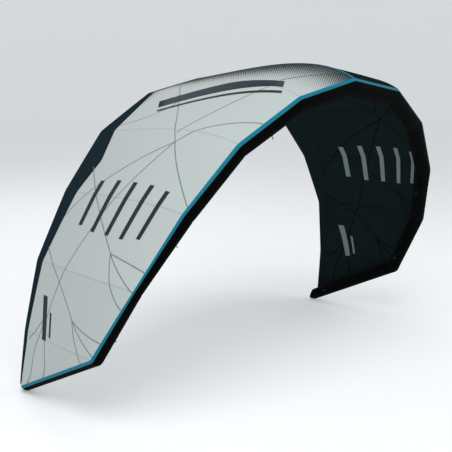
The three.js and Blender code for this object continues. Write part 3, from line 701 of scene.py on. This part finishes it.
def sheet_on_skin(name, u, t, lift, thickness, look, slot, nodes=()):
    """A closed sheet over the chart grid u by t, its outer face lifted off the skin's outer face."""
    point, normal = skin_frame(u, t)
    outer, inner = point + normal * lift, point + normal * (lift - thickness)
    for sheet in (outer, inner):
        sheet[..., 0] = np.where(u == 0, CENTRE_GAP, sheet[..., 0])
    pieces = Pieces()
    pieces.sheet(outer, inner, np.stack([u, t], -1))
    obj = pieces.build(name, look, slot, nodes=nodes)
    middle_u = (u[1:, 1:] + u[:-1, :-1]).ravel() / 2
    rim = len(obj.data.polygons) - 2 * len(middle_u)
    cloth_uv(obj, name, np.concatenate([middle_u, middle_u, np.zeros(rim)]))
    return obj


def build_canopy(side):
    u, t = np.meshgrid(COLUMNS, CHORD_T, indexing="ij")
    panels = [f"canopy_panel_{i}_{side}" for i in range(1, TIP + 1)]
    obj = sheet_on_skin(f"canopy_{side}", u, t, 0, CLOTH, CLOTH_LOOK[side], "canopy", panels)
    amount = print_amount(u, t).ravel()
    attribute = obj.data.attributes.new("print", "FLOAT", "POINT")
    attribute.data.foreach_set("value", np.concatenate([amount, amount]).astype(np.float32))


def build_band(side):
    """The trailing-edge band: a folded strip that wraps the cloth's rear edge."""
    start = band_start(COLUMNS)[:, None]
    t = start + (1 - start) * np.linspace(0, 1, BAND_STEPS)
    u = np.repeat(COLUMNS[:, None], BAND_STEPS, 1)
    look = "dark" if side == "right" else "band"
    sheet_on_skin(f"trailing_band_{side}", u, t, BAND_LIFT, CLOTH + 2 * BAND_LIFT, look, "band")


# ---- tapes and prints laid on the skin


def dense(path, steps=(0.03, 0.02)):
    """A path through chart points in steps short enough to follow the skin."""
    path = np.array(path, float)
    out = [path[0]]
    for a, b in zip(path, path[1:]):
        count = max(2, math.ceil((np.abs(b - a) / steps).max()))
        out += [lerp(a, b, k / count) for k in range(1, count + 1)]
    return np.array(out)


def tape_line(path, count=24):
    """Points along a load tape: a straight line, or a quadratic curve past a bend."""
    start, end = np.array(path[0], float), np.array(path[-1], float)
    bend = np.array(path[1]) if len(path) == 3 else (start + end) / 2
    return quadratic(start, bend, end, np.linspace(0, 1, count)[:, None])


# The load frame: narrow bonded tapes that fan out from nodes in the skin to the tube and the trailing edge.
# Each is straight in the chart between two points, or one quadratic curve that the middle point bends.
NODE_A, NODE_B, NODE_D, NODE_E = (2.18, 0.37), (3.66, 0.34), (4.6, 0.43), (4.66, 0.72)
LOAD_TAPES = [
    [NODE_A, (0.65, 0.9)],
    [NODE_A, (2.55, 0.25), (2.9, 0)],
    [NODE_A, (1.85, 0.25), (1.6, 0)],
    [NODE_A, (2.65, 0.7), (3.35, 0.9)],
    [NODE_A, (3.35, 0.65), NODE_E],
    [(2.05, 0.4), (1, 0.18)],
    [(1.9, 0.9), (1.65, 0.62), (1.4, 0.65)],
    [NODE_B, (3.2, 0.65), (2.6, 0.87)],
    [NODE_B, (3.75, 0)],
    [NODE_B, (3.85, 0.22), (4, 0)],
    [NODE_B, (4.1, 0.22), (4.25, 0)],
    [NODE_D, (3.8, 0.93)],
    [NODE_D, (4.73, 0.25), (4.75, 0)],
    [NODE_D, (4.85, 0.25), (4.95, 0)],
    [NODE_D, (5.05, 0.28), (5.12, 0)],
    [NODE_E, (5.13, 0.9)],
    [NODE_E, (5.35, 0.75), (5.66, 0)],
    [NODE_E, (5.75, 0.95), (5.9, 0)],
]
CENTRE_LOAD_TAPE = [(0.8, 0.2), (0.4, 0.15), (0.03, 0.02)]  # it runs under the dotted print
PIPING_T = -0.95  # where the tapes that pass over the tube end
LOAD_TAPE_WIDTH, LOAD_TAPE_LIFT = 0.0085, 0.0009
SEAM_WIDTH, SEAM_OVERLAP = 0.011, 0.004
FOLD_WIDTH, FOLD_LIFT = 0.006, 0.0010

# Plain printed stripes across panels 3 and 4: where each lies along the chord, and its ends across the span
STRIPES = [(0.715, 2.80, 3.42), (0.585, 2.77, 3.47), (0.455, 2.77, 3.47), (0.325, 2.77, 3.47)]
STRIPES.append((0.195, 2.80, 3.42))
STRIPE_HALF, STRIPE_BEND = 0.016, 3.0
BAR_REAR, BAR_FRONT = np.array([1.34, 0.80]), np.array([0.80, 0.17])
BAR_ACROSS = np.array([0.27, -0.085])
MARK_START, MARK_END, MARK_T = 4.43, 5.02, (0.80, 0.69)


def stripes(pieces, face):
    """Straight stripes of one width, that follow the panels."""
    for t, start, end in STRIPES:
        low, high = t - STRIPE_HALF, t + STRIPE_HALF
        for a, b in ((start, STRIPE_BEND), (STRIPE_BEND, end)):
            pieces.patch([(a, low), (a, high), (b, high), (b, low)], face)


def long_bars(pieces, face):
    """A broad bar and a narrow one, side by side along the chord near the centre line."""
    for low, high in ((0.0, 0.62), (0.88, 1.02)):
        near, far = BAR_ACROSS * low, BAR_ACROSS * high
        corners = [BAR_REAR + near, BAR_FRONT + near, BAR_FRONT + far, BAR_REAR + far]
        pieces.patch(corners, face, lift=0.0024, thickness=0.0020, steps=(12, 110))


def corner_mark(pieces, face):
    """A plain bar near the corner and a narrower one beside it."""
    for shift, half, start, end in ((0.0, 0.026, MARK_START, MARK_END), (-0.075, 0.010, 4.62, 4.95)):
        a, b = (lerp(*MARK_T, (u - MARK_START) / (MARK_END - MARK_START)) + shift for u in (start, end))
        corners = [(start, a - half), (start, a + half), (end, b + half), (end, b - half)]
        pieces.patch(corners, face, steps=(4, 20))


def build_skin_details(side):
    cloth = CLOTH_LOOK[side]
    light = cloth == "light"
    fold_line = np.stack([COLUMNS, band_start(COLUMNS) + 0.001], 1)
    fold = Pieces()
    for face, face_name in ((1, "outer"), (-1, "inner")):
        tapes, seams, prints = Pieces(), Pieces(), Pieces()
        for path in LOAD_TAPES:
            line = tape_line(path)
            if path[-1][1] == 0 and face > 0:
                line = np.concatenate([line, [[line[-1, 0], PIPING_T]]])
            tapes.strip(dense(line), LOAD_TAPE_WIDTH, face, LOAD_TAPE_LIFT)
        under_print = prints if light else tapes
        under_print.strip(dense(tape_line(CENTRE_LOAD_TAPE)), LOAD_TAPE_WIDTH, face, LOAD_TAPE_LIFT)
        for i in range(1, TIP):
            front = -1.0 if face > 0 else 0.02
            seams.strip(dense([(i, front), (i, band_start(i) + SEAM_OVERLAP)]), SEAM_WIDTH, face)
        stripes(prints, face)
        corner_mark(prints, face)
        if light:
            long_bars(prints, face)
        fold.strip(fold_line, FOLD_WIDTH, face, FOLD_LIFT)
        tapes.build(f"load_tapes_{face_name}_{side}", f"frame_{cloth}", "canopy")
        seams.build(f"panel_seams_{face_name}_{side}", f"seam_{cloth}", "canopy")
        prints.build(f"print_{face_name}_{side}", "ink_dark" if light else "ink_light", "band")
    fold.build(f"band_stitching_{side}", "seam_dark", "band")


def build_piping(side):
    """The tape that binds the canopy's front edge to the tube."""
    width = at_stations(COLUMNS, PIPING)
    turn = np.degrees(width / at_stations(COLUMNS, [s.radius for s in STATIONS]))
    end = at_stations(COLUMNS, FRONT_EDGE) + PIPING_OVERLAP
    crown = 0.0008 + np.array([-0.0012, -0.0002, 0, 0, 0, -0.0002, -0.0009])
    shares = np.linspace(1, 0, len(crown))
    outer = [on_tube(COLUMNS, end - turn * f, SKIN_HEIGHT + h) for f, h in zip(shares, crown)]
    inner = [on_tube(COLUMNS, end - turn * f, SKIN_HEIGHT - CLOTH) for f in shares]
    pieces = Pieces()
    pieces.sheet(np.array(outer), np.array(inner),
                 pair_up(lengths_along(outer[3]), (0.5 - shares)[:, None] * width))
    pieces.build(f"edge_piping_{side}", "piping", "piping")


CENTRE_TAPE, CENTRE_TAPE_HIGH, CENTRE_TAPE_LOW = 0.028, 0.0018, 0.0003
STRUT_STRIP, STRUT_STRIP_HIGH, STRUT_STRIP_LOW = 0.044, -CLOTH - 0.0002, -CLOTH - 0.0012


def centre_strip(t, x, high, low):
    """A strip along the centre line: t runs along it and x across it, between two heights off the skin."""
    outer, inner = [], []
    for value in x:
        point, normal = skin_frame(np.full(t.shape, abs(value) / LEADING_EDGE[0][0]), t)
        point[:, 0] = abs(value)
        flip = [math.copysign(1, value), 1, 1]
        outer.append((point + normal * high) * flip)
        inner.append((point + normal * low) * flip)
    pieces = Pieces()
    pieces.sheet(np.array(outer), np.array(inner), pair_up(lengths_along(outer[len(x) // 2]), x[:, None]))
    return pieces


def build_centre_tape():
    x = np.linspace(-0.5, 0.5, 7) * CENTRE_TAPE
    strip = centre_strip(np.linspace(-1, 1, 120), x, CENTRE_TAPE_HIGH, CENTRE_TAPE_LOW)
    strip.build("centre_seam_tape", "centre_tape", "piping")


# ---- tubes

CASING_SIDES = 64
NEAR_SEAM = np.array([0, 0.004, 0.010, 0.018, 0.03, 0.045, 0.065, 0.09, 0.12])  # loops crowd by a seam
PUCKERS = ((9, 1.0), (14, 0.7), (23, 0.5))  # how many go round, and how high each set is


def ripples(angles, distance, seed):
    """Small puckers beside a tube's seam, where cloth is gathered round a bend."""
    phases = np.random.default_rng(seed).uniform(0, 2 * math.pi, len(PUCKERS))
    a = np.radians(angles)
    wave = sum(height * np.sin(count * a + phase) for (count, height), phase in zip(PUCKERS, phases))
    return 0.0007 * wave * np.exp(-((distance / 0.055) ** 2)) - 0.0016 * np.exp(-((distance / 0.010) ** 2))


def build_casing(index, side):
    a, b = STATIONS[index], STATIONS[index + 1]
    length = LEADING_EDGE[index][0]
    angles = np.arange(CASING_SIDES) * 360 / CASING_SIDES
    between = np.linspace(0.13 / length, 1 - 0.13 / length, 8)
    f = np.concatenate([NEAR_SEAM / length, between, 1 - NEAR_SEAM[::-1] / length])
    axis = unit(b.place - a.place)
    loops, walls = [], []
    for share in np.clip(f, 0.0002 / length, 1 - 0.0002 / length):
        point = lerp(a.ring(angles), b.ring(angles), share)
        radial = point - lerp(a.place, b.place, share)
        radial = unit(radial - axis * (radial @ axis)[:, None])
        swell = ripples(angles, share * length, 10 * index)
        if index < TIP - 1:
            swell = swell + ripples(angles, (1 - share) * length, 10 * index + 10)
        loops.append(point + radial * swell[:, None])
        walls.append(point + radial * (swell[:, None] - CASING_WALL))
    name = f"edge_casing_{index + 1}_{side}"
    obj = tube_object(name, np.array(loops), "casing", np.array(walls))
    tube_uv(obj, name, a.place, axis, a.rear)


def tube_uv(obj, name, place, axis, zero, radius=0.065):
    """UVs along a tube's axis and round it, in metres, with no face split by the seam."""
    rel = corners_as_built(obj, name) - place
    along = rel @ axis
    from_axis = rel - axis * along[:, None]
    x = unit(zero - axis * (zero @ axis))
    round_it = np.arctan2(from_axis @ np.cross(axis, x), from_axis @ x) * radius
    for polygon in obj.data.polygons:
        corners = list(polygon.loop_indices)
        span = round_it[corners]
        if span.max() - span.min() > math.pi * radius:
            round_it[corners] = np.where(span < 0, span + 2 * math.pi * radius, span)
    set_uv(obj, np.stack([along, round_it], 1))


def strut_station(share):
    """The strut's centre at a share of the chord, its direction, the way down, and its radius."""
    section, step = SECTIONS[0], 1e-3
    along = unit(section.at(share + step) - section.at(share - step))
    down = -np.cross([1, 0, 0], along)
    radius = lerp(STRUT_FRONT_RADIUS, STRUT_REAR_RADIUS, share)
    depth = 0.002 + (radius + CLOTH) / math.cos(math.radians(RIDGE_SLOPE))
    return section.at(share) + down * depth, along, down, radius


def strut_loops(start, end, count, offset, sides=48):
    a = turns(sides)[:, None]
    loops = []
    for share in np.linspace(start, end, count):
        place, _, down, radius = strut_station(share)
        loops.append(place + (radius + offset) * (np.sin(a) * np.array([1, 0, 0]) + np.cos(a) * down))
    return np.array(loops)


def build_strut():
    loops, wall = (strut_loops(STRUT_FRONT, STRUT_END, 40, offset) for offset in (0, -CASING_WALL))
    obj = tube_object("strut_casing", loops, "casing", wall)
    place, along, _, _ = strut_station(0.5)
    tube_uv(obj, "strut_casing", place, along, np.array([1.0, 0, 0]), 0.04)
    loops = strut_loops(0.11, STRUT_END - 0.01, 24, -BLADDER_GAP, 32)
    tube_object("strut_bladder", loops, "film")
    x = np.array([-0.5, -0.3, 0.3, 0.5]) * STRUT_STRIP
    strip = centre_strip(np.linspace(0.10, STRUT_END + 0.005, 60), x, STRUT_STRIP_HIGH, STRUT_STRIP_LOW)
    strip.build("strut_seam_strip", "webbing", "casing")


def build_edge_bladder():
    angles = np.arange(32) * 360 / 32
    loops = [station.ring(angles, -BLADDER_GAP) for station in STATIONS]
    loops[TIP] = loops[TIP] - STATIONS[TIP].along * 0.007
    left = [mirrored(loop, "left") for loop in loops[:0:-1]]
    tube_object("edge_bladder", np.array(left + loops), "film")


# ---- flaps, webbing, cords and hose

FLAP_OFFSET, FLAP_HALF = 0.00175, 0.00125  # a flap's middle above its tube's end, and half its thickness
TIP_HINGE = 158.0  # angle of the tip caps' hinge round the tube
TIP_CAP_LENGTH, TIP_CAP_POINT, TIP_CAP_WALL = 0.075, 0.012, 0.0024
TIP_CAP_LEAN = (-0.014, 0.006)  # how far its point leans off the tube's axis
PLEAT_HEIGHT, PLEATS = 0.0016, 9


def frame_of(origin, x, z):
    """A 3 by 4 placement from an origin and the directions of X and Z."""
    return np.stack([x, np.cross(z, x), z, origin], 1)


def edge_seat(segment, share, degrees):
    """On a leading-edge segment: X along the tube, Z straight out of it, the origin on its surface."""
    direction = segment_direction(*LEADING_EDGE[segment][1:])
    rear, outward = side_axes(direction)
    a = math.radians(degrees)
    normal = outward * math.cos(a) + rear * math.sin(a)
    s, e = STATIONS[segment], STATIONS[segment + 1]
    origin = lerp(s.place, e.place, share) + normal * lerp(s.radius, e.radius, share)
    return frame_of(origin, direction, normal)


def placed(points, placement):
    return np.asarray(points) @ placement[:, :3].T + placement[:, 3]


def hinged_cloth(name, loops, seat, up):
    """A cloth piece on its own body. Its UVs run along the seat's X and along its axis number up."""
    obj = tube_object(name, placed(loops, seat), "casing", body=name)
    set_uv(obj, (corners_as_built(obj, name) - seat[:, 3]) @ seat[:, [0, up]])


def build_strut_flap():
    """A fabric disc with a rolled hem and a shallow dome, on its own body, its seat's origin at its lowest
    point.
    """
    rings = [(0.5, 0.0), (0.97, 0.0), (1.0, 0.0), (1.0, 0.0025), (0.985, 0.0034), (0.93, 0.0034)]
    rings += [(0.90, 0.0026), (0.6, 0.0040), (0.3, 0.0050)]
    place, along, down, radius = strut_station(STRUT_END)
    seat = frame_of(place + down * radius + along * FLAP_OFFSET, np.cross(-down, along), along)
    a, loops = turns(48), []
    for share, height in rings:
        x, y = share * radius * np.sin(a), radius * (1 - share * np.cos(a))
        loops.append(np.stack([x, y, np.full(48, height - FLAP_HALF)], 1))
    hinged_cloth("strut_end_flap", np.array(loops), seat, up=1)


def tip_cap_ring(share, inset, radius, sides=64):
    """A loop round the tip cap, at a share of its length and inset from its face."""
    a = turns(sides)
    pleats = PLEAT_HEIGHT * math.sin(math.pi * min(share, 0.98) * 0.8) * np.sin(a * PLEATS)
    size = lerp(radius, TIP_CAP_POINT, share**1.12) + pleats - inset
    x = TIP_CAP_LEAN[0] * share + size * np.cos(a)
    y = radius + TIP_CAP_LEAN[1] * share + size * np.sin(a)
    return np.stack([x, y, np.full(sides, lerp(-FLAP_HALF, TIP_CAP_LENGTH - inset, share))], 1)


def build_tip_flaps():
    """Cloth caps gathered to a point, which close the tube's ends. Each sits on its own body, placed from a
    seat whose origin lies just past the tube's end at the angle TIP_HINGE.
    """
    tip = STATIONS[TIP]
    hinge = tip.ring([TIP_HINGE])[0]
    seat = frame_of(hinge + tip.along * FLAP_OFFSET, np.cross(unit(tip.place - hinge), tip.along), tip.along)
    steps = np.linspace(0, 1, 14)
    loops = [tip_cap_ring(s, TIP_CAP_WALL, tip.radius) for s in steps[::-1]]
    loops += [tip_cap_ring(s, 0.0, tip.radius) for s in steps]
    for side in SIDES:
        hinged_cloth(f"tip_flap_{side}", np.array(loops), seat, up=2)


def catmull(points, count, closed=False):
    """A Catmull-Rom curve through points."""
    p = np.array(points, float)
    ends = (p[-1:], p[:2]) if closed else (2 * p[:1] - p[1:2], 2 * p[-1:] - p[-2:-1])
    p = np.concatenate([ends[0], p, ends[1]])
    out = []
    for a, b, c, d in zip(p, p[1:], p[2:], p[3:]):
        for f in np.arange(count) / count:
            bend = (2 * a - 5 * b + 4 * c - d) * f**2 + (3 * b - a - 3 * c + d) * f**3
            out.append(0.5 * (2 * b + (c - a) * f + bend))
    return np.array(out if closed else out + [p[-2]])


def swept(path, radius, sides=12, closed=False):
    """Loops of points round a path."""
    path = np.asarray(path, float)
    tangents = unit(np.roll(path, -1, 0) - np.roll(path, 1, 0) if closed else np.gradient(path, axis=0))
    normal = np.cross(tangents[0], [0.3, 0.5, 0.81])
    a = turns(sides)[:, None]
    loops = []
    for point, tangent, r in zip(path, tangents, np.broadcast_to(radius, len(path))):
        normal = unit(normal - tangent * (normal @ tangent))
        loops.append(point + r * (np.cos(a) * normal + np.sin(a) * np.cross(tangent, normal)))
    return np.array(loops)


ANCHORS = [  # name, segment, share along it, and angle round the tube
    ("front_1", 1, 0.5, 182),
    ("front_2", 3, 0.35, 182),
    ("front_3", 4, 0.75, 182),
    ("rear", 5, 0.82, 182),
]
LOOP_HEIGHT, LOOP_RADIUS, LOOP_WIDTH, WEBBING_HALF = 0.0065, 0.0051, 0.012, 0.00085
CORD_RADIUS, COIL_RADIUS, COIL_TURNS, THREAD_RADIUS = 0.0016, 0.0029, 3, 0.0005
COIL_START, COIL_END = 0.0236, 0.0294  # above the middle of the webbing loop


def build_anchor(name, seat):
    """A webbing strap sewn flat to the tube at both ends, standing up in a loop between them."""
    turn = np.radians(np.linspace(-52, 232, 30))
    circle = [(LOOP_RADIUS * math.cos(a), LOOP_HEIGHT + LOOP_RADIUS * math.sin(a)) for a in turn]
    foot = [(0.025, 0.0014), (0.018, 0.0015), (0.011, 0.0015), (0.0065, 0.0018)]
    line = catmull(foot + circle + [(-x, z) for x, z in foot[::-1]], 3)
    tangent = unit(np.gradient(line, axis=0))
    y = np.array([-0.5, -0.46, -0.3, 0, 0.3, 0.46, 0.5]) * LOOP_WIDTH
    half = np.array([0.35, 0.8, 1, 1, 1, 0.8, 0.35]) * WEBBING_HALF
    faces = []
    for h in (half, -half):
        x, z = line[:, :1] + tangent[:, 1:] * h, line[:, 1:] - tangent[:, :1] * h
        faces.append(placed(np.stack(np.broadcast_arrays(x, y, z), -1), seat))
    pieces = Pieces()
    pieces.sheet(*faces, pair_up(lengths_along(line)[:, None], y))
    for x in (-0.021, -0.0125, 0.0125, 0.021):
        zigzag = [(x + 0.0016 * (-1) ** k, lerp(-0.0048, 0.0048, k / 9), 0.0027) for k in range(10)]
        pieces.tube(placed(swept(catmull(zigzag, 3), THREAD_RADIUS, 6), seat))
    pieces.build(f"anchor_{name}", "webbing", "webbing")


def build_pigtail(name, seat):
    """A braided cord through the webbing loop, with an overhand knot that gathers its legs."""
    pivot = seat.copy()
    pivot[:, 3] = placed([0, 0, LOOP_HEIGHT], seat)
    edge = LOOP_WIDTH / 2
    beside = edge + 2 * CORD_RADIUS
    half = [(0, 0), (edge, 0), (beside, 0.004), (beside - 0.002, 0.012), (0.0026, 0.022)]
    half.append((CORD_RADIUS, 0.026))
    legs = [(0, y, z) for y, z in half] + [(0, -y, z) for y, z in half[:0:-1]]
    steps = np.linspace(0, 2 * math.pi * COIL_TURNS, 90)
    rise = lerp(COIL_START, COIL_END, steps / steps[-1]) + 0.0006 * np.sin(steps * 1.5)
    coil = np.stack([COIL_RADIUS * np.cos(steps), COIL_RADIUS * np.sin(steps), rise], 1)
    bight = [(0.0, 0.0, 0.0225), (0.0018, 0.0012, 0.025), (-0.0012, 0.0010, 0.0275), (0.0, 0.0, 0.0300)]
    pieces = Pieces()
    pieces.tube(placed(swept(catmull(legs, 8, closed=True), CORD_RADIUS, closed=True), pivot), closed=True)
    pieces.tube(placed(swept(coil, CORD_RADIUS), pivot))
    pieces.tube(placed(swept(catmull(bight, 8), [CORD_RADIUS] * 24 + [0.0012]), pivot))
    pieces.build(f"pigtail_{name}", "cord", "cord", f"pigtail_{name}")


HOSE_RADIUS, HOSE_RIB, HOSE_RIB_PITCH = 0.0106, 0.0007, 0.0045
HOSE_CUFF, HOSE_CLIP = (0.022, 0.030), (0.013, 0.018)  # where the ribs fade out, by the ends and the clip


def build_hose():
    """Corrugated hose from the leading edge to the strut."""
    start = edge_seat(0, 0.3, 120)
    place, _, _, radius = strut_station(0.16)
    end = frame_of(place + [radius, 0, 0], np.array([0.0, 1, 0]), np.array([1.0, 0, 0]))
    ends = [placed([0, 0, h], seat) for seat, h in ((start, 0.002), (start, 0.07), (end, 0.07), (end, 0.002))]
    path = cubic(*ends, np.linspace(0, 1, 161)[:, None])
    before = path[0] - start[:, 2] * np.linspace(0.012, 0.001, 6)[:, None]
    after = path[-1] - end[:, 2] * np.linspace(0.001, 0.012, 6)[:, None]
    path = np.concatenate([before, path, after])
    along = lengths_along(path)
    ribbed = smooth_step(*HOSE_CUFF, along) * smooth_step(*HOSE_CUFF, along[-1] - along)
    ribbed = ribbed * smooth_step(*HOSE_CLIP, np.abs(along - along[-1] / 2))
    pieces = Pieces()
    ribs = HOSE_RIB * ribbed * np.cos(along * 2 * math.pi / HOSE_RIB_PITCH)
    pieces.tube(swept(path, HOSE_RADIUS + ribs, 28))
    pieces.build("crossover_hose", "hose", "hose")


HARD_PARTS = {
    "plastic": ["inflate_valve_base", "deflate_valve_base", "hose_clip_body"],
    "cap": ["inflate_valve_cap", "inflate_valve_disc", "deflate_valve_cap", "hose_clip_lever"],
}


def paint_hard_parts():
    """Valves and clip keep the frame's own solids and take a new material."""
    for look, names in HARD_PARTS.items():
        for node in [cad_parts[name] for name in names]:
            node.data.materials.clear()
            node.data.materials.append(MATERIALS[look])


# ---- stage, lights and camera

FLOOR_RADIUS, WALL_RADIUS, WALL_TOP = 22, 10, 16
FLOOR_LOWERED = 0.003
LIGHTS = {  # place, size and power
    "key_light": ((-4.6, -3.2, 8.2), 6.0, 410),
    "fill_light": ((5.5, -4.5, 5.0), 6.0, 130),
    "rear_light": ((1.0, 7.0, 6.5), 6.0, 120),
}
LIGHTS_AIM = Vector((0, 0, 1.3))
AIR_COLOUR, AIR_STRENGTH = (0.93, 0.96, 1.0, 1), 0.45
CAMERA_YAW, CAMERA_PITCH, CAMERA_ROLL = 44.97, 13.04, 0.82
CAMERA_FROM_CENTRE = Vector((-5.439, -4.169, 0.491))  # from the middle of the leading edge
CAMERA_LENS, CAMERA_SENSOR = 71.68, 36


def build_stage():
    """A pale round floor that curves up into a wall, far enough out for every view."""
    profile = [(0, 0), (4, 0), (12, 0), (FLOOR_RADIUS, 0)]
    for a in np.radians(np.linspace(6, 90, 15)):
        profile.append((FLOOR_RADIUS + WALL_RADIUS * math.sin(a), WALL_RADIUS * (1 - math.cos(a))))
    profile.append((FLOOR_RADIUS + WALL_RADIUS, WALL_TOP))
    a = turns(96)
    rings = [np.stack([r * np.cos(a), r * np.sin(a), np.full(96, h - FLOOR_LOWERED)], 1) for r, h in profile]
    paint = studio_paint("studio_floor_paint", (0.86, 0.87, 0.88, 1))
    make_object("studio_floor", np.array(rings), grid_faces(len(profile), 96, wrap=True), paint)


def build_lights():
    world = bpy.data.worlds.new("studio_air")
    world.use_nodes = True
    background = world.node_tree.nodes["Background"]
    background.inputs[0].default_value = AIR_COLOUR
    background.inputs[1].default_value = AIR_STRENGTH
    bpy.context.scene.world = world
    for name, (place, size, power) in LIGHTS.items():
        data = bpy.data.lights.new(name, "AREA")
        data.shape, data.size, data.energy = "DISK", size, power
        lamp = add_object(name, data)
        lamp.location = place
        lamp.rotation_mode = "QUATERNION"
        lamp.rotation_quaternion = (LIGHTS_AIM - Vector(place)).to_track_quat("-Z", "Y")


def build_camera():
    yaw, pitch, roll = (math.radians(a) for a in (CAMERA_YAW, CAMERA_PITCH, CAMERA_ROLL))
    ahead = Vector((math.sin(yaw) * math.cos(pitch), math.cos(yaw) * math.cos(pitch), -math.sin(pitch)))
    right = ahead.cross(Vector((0, 0, 1))).normalized()
    up = right.cross(ahead)
    x = right * math.cos(roll) + up * math.sin(roll)
    y = up * math.cos(roll) - right * math.sin(roll)
    data = bpy.data.cameras.new("camera")
    data.lens, data.sensor_width = CAMERA_LENS, CAMERA_SENSOR
    data.clip_start, data.clip_end = 0.1, 200
    camera = add_object("camera", data)
    place = Vector(STATIONS[0].place) + CAMERA_FROM_CENTRE
    rotation = Matrix((x, y, -ahead)).transposed().to_4x4()
    camera.matrix_world = Matrix.Translation(place) @ rotation
    bpy.context.scene.camera = camera


# ---- everything together

for side in SIDES:
    build_canopy(side)
    build_band(side)
    build_skin_details(side)
    build_piping(side)
    for index in range(TIP):
        build_casing(index, side)
    for name, segment, share, degrees in ANCHORS:
        seat = edge_seat(segment, share, degrees)
        build_anchor(f"{name}_{side}", seat)
        build_pigtail(f"{name}_{side}", seat)
build_centre_tape()
build_strut()
build_edge_bladder()
build_tip_flaps()
build_strut_flap()
build_hose()
paint_hard_parts()
build_stage()
build_lights()
build_camera()
bpy.context.scene.view_settings.view_transform = "Standard"

bpy.context.view_layer.update()
